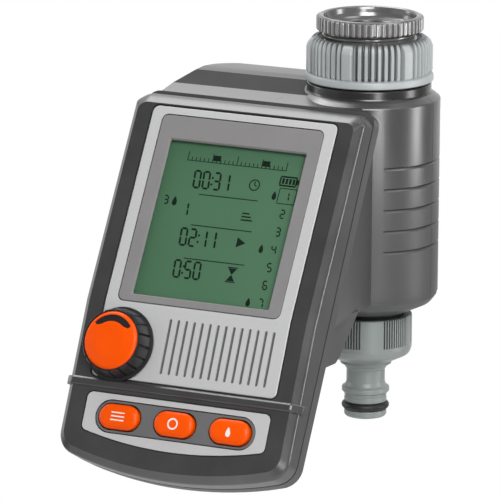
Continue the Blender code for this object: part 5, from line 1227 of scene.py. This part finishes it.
# Studio
def build_camera():
    yaw, pitch, roll = (radians(a) for a in (27.653, 12.286, 0.461))
    right = Vector((cos(yaw), sin(yaw), 0))
    back = Vector((sin(yaw) * cos(pitch), -cos(yaw) * cos(pitch), sin(pitch)))
    up = back.cross(right)
    right, up = right * cos(roll) + up * sin(roll), up * cos(roll) - right * sin(roll)
    data = bpy.data.cameras.new("camera")
    data.lens, data.sensor_width, data.clip_start, data.clip_end = 432.0, 36.0, 0.01, 50.0
    camera = placed("camera", data)
    turn = Matrix((right, up, back)).transposed().to_4x4()
    camera.matrix_world = shift(0.92176, -1.84812, 0.36549) @ turn
    bpy.context.scene.camera = camera


def softbox(name, place, width, height, power):
    """Soft light at a place, aimed at the middle of the object."""
    data = bpy.data.lights.new(name, "AREA")
    data.shape, data.size, data.size_y, data.energy = "RECTANGLE", width, height, power
    place, middle = Vector(place), Vector((-0.02, -0.03, -0.07))
    turn = (middle - place).to_track_quat("-Z", "Y").to_matrix().to_4x4()
    placed(name, data).matrix_world = Matrix.Translation(place) @ turn


def build_world():
    world = bpy.data.worlds.new("studio")
    bpy.context.scene.world = world
    world.use_nodes = True
    world.node_tree.nodes.clear()
    tree = Tree(world.node_tree)

    def seen(kind):
        return tree.node("ShaderNodeLightPath", None, kind)
    # the white backdrop stands behind the object, so reflections show it only on that side
    ray = tree.node("ShaderNodeTexCoord", None, "Generated")
    backdrop = tree.ramp(tree.vector("DOT_PRODUCT", ray, (-0.46, 0.87, 0.17)), 0.3, 0.85)
    direct = seen("Is Camera Ray").maths("MAXIMUM", seen("Is Transmission Ray"))
    direct = direct.maths("MAXIMUM", seen("Is Glossy Ray") * backdrop)
    room = tree.node("ShaderNodeBackground", {"Color": (0.96, 0.98, 1.0, 1.0), "Strength": 0.13})
    white = tree.node("ShaderNodeBackground", {"Color": (1.0, 1.0, 1.0, 1.0), "Strength": 1.0})
    mixed = tree.node("ShaderNodeMixShader", {0: direct, 1: room, 2: white})
    tree.node("ShaderNodeOutputWorld", {"Surface": mixed})


def build_floor():
    """Pale round floor that fades out towards its edge."""
    disc = arc(430.0, 0, TURN * 63 / 64, 63)
    floor = prism("floor", disc, -302.0, -300.0)
    look = Finish("pale_floor")
    fade = look.ramp(look.reach(), 0.2, 0.42)
    cloth = look.noise(40.0, 2.0)
    base = look.node("ShaderNodeBsdfPrincipled", {
        "Base Color": look.blend(cloth, (0.86, 0.86, 0.86, 1.0), (0.9, 0.9, 0.9, 1.0)), "Roughness": 0.9})
    clear = look.node("ShaderNodeBsdfTransparent")
    mixed = look.node("ShaderNodeMixShader", {0: fade, 1: base, 2: clear})
    look.node("ShaderNodeOutputMaterial", {"Surface": mixed})
    floor.data.materials.append(look.material)


def build_studio():
    bpy.context.scene.view_settings.view_transform = "Standard"
    build_world()
    softbox("top_box", (-0.50, 0.25, 0.88), 0.8, 0.7, 7.0)
    softbox("front_box", (0.58, -0.85, 0.62), 0.7, 0.5, 10.5)
    softbox("front_strip", (0.88, -0.95, 0.0), 0.22, 0.80, 4.4)
    softbox("side_strip", (1.20, 0.42, 0.0), 0.32, 0.80, 6.0)
    softbox("fill_box", (-1.0, -0.75, -0.05), 1.1, 0.9, 1.2)
    softbox("left_rim", (-1.25, -0.12, 0.10), 0.30, 0.9, 2.4)
    softbox("right_top", (0.55, 0.12, 0.85), 0.45, 0.45, 2.0)
    build_floor()


build_camera()
build_studio()
finish_kept_solids()
build_adapter_ring()
build_union_nut()
build_housing()
build_screws()
build_spring()
build_connector()
build_front_cover()
build_plates()
build_display_frame()
display_marks()
build_knob()
build_buttons()
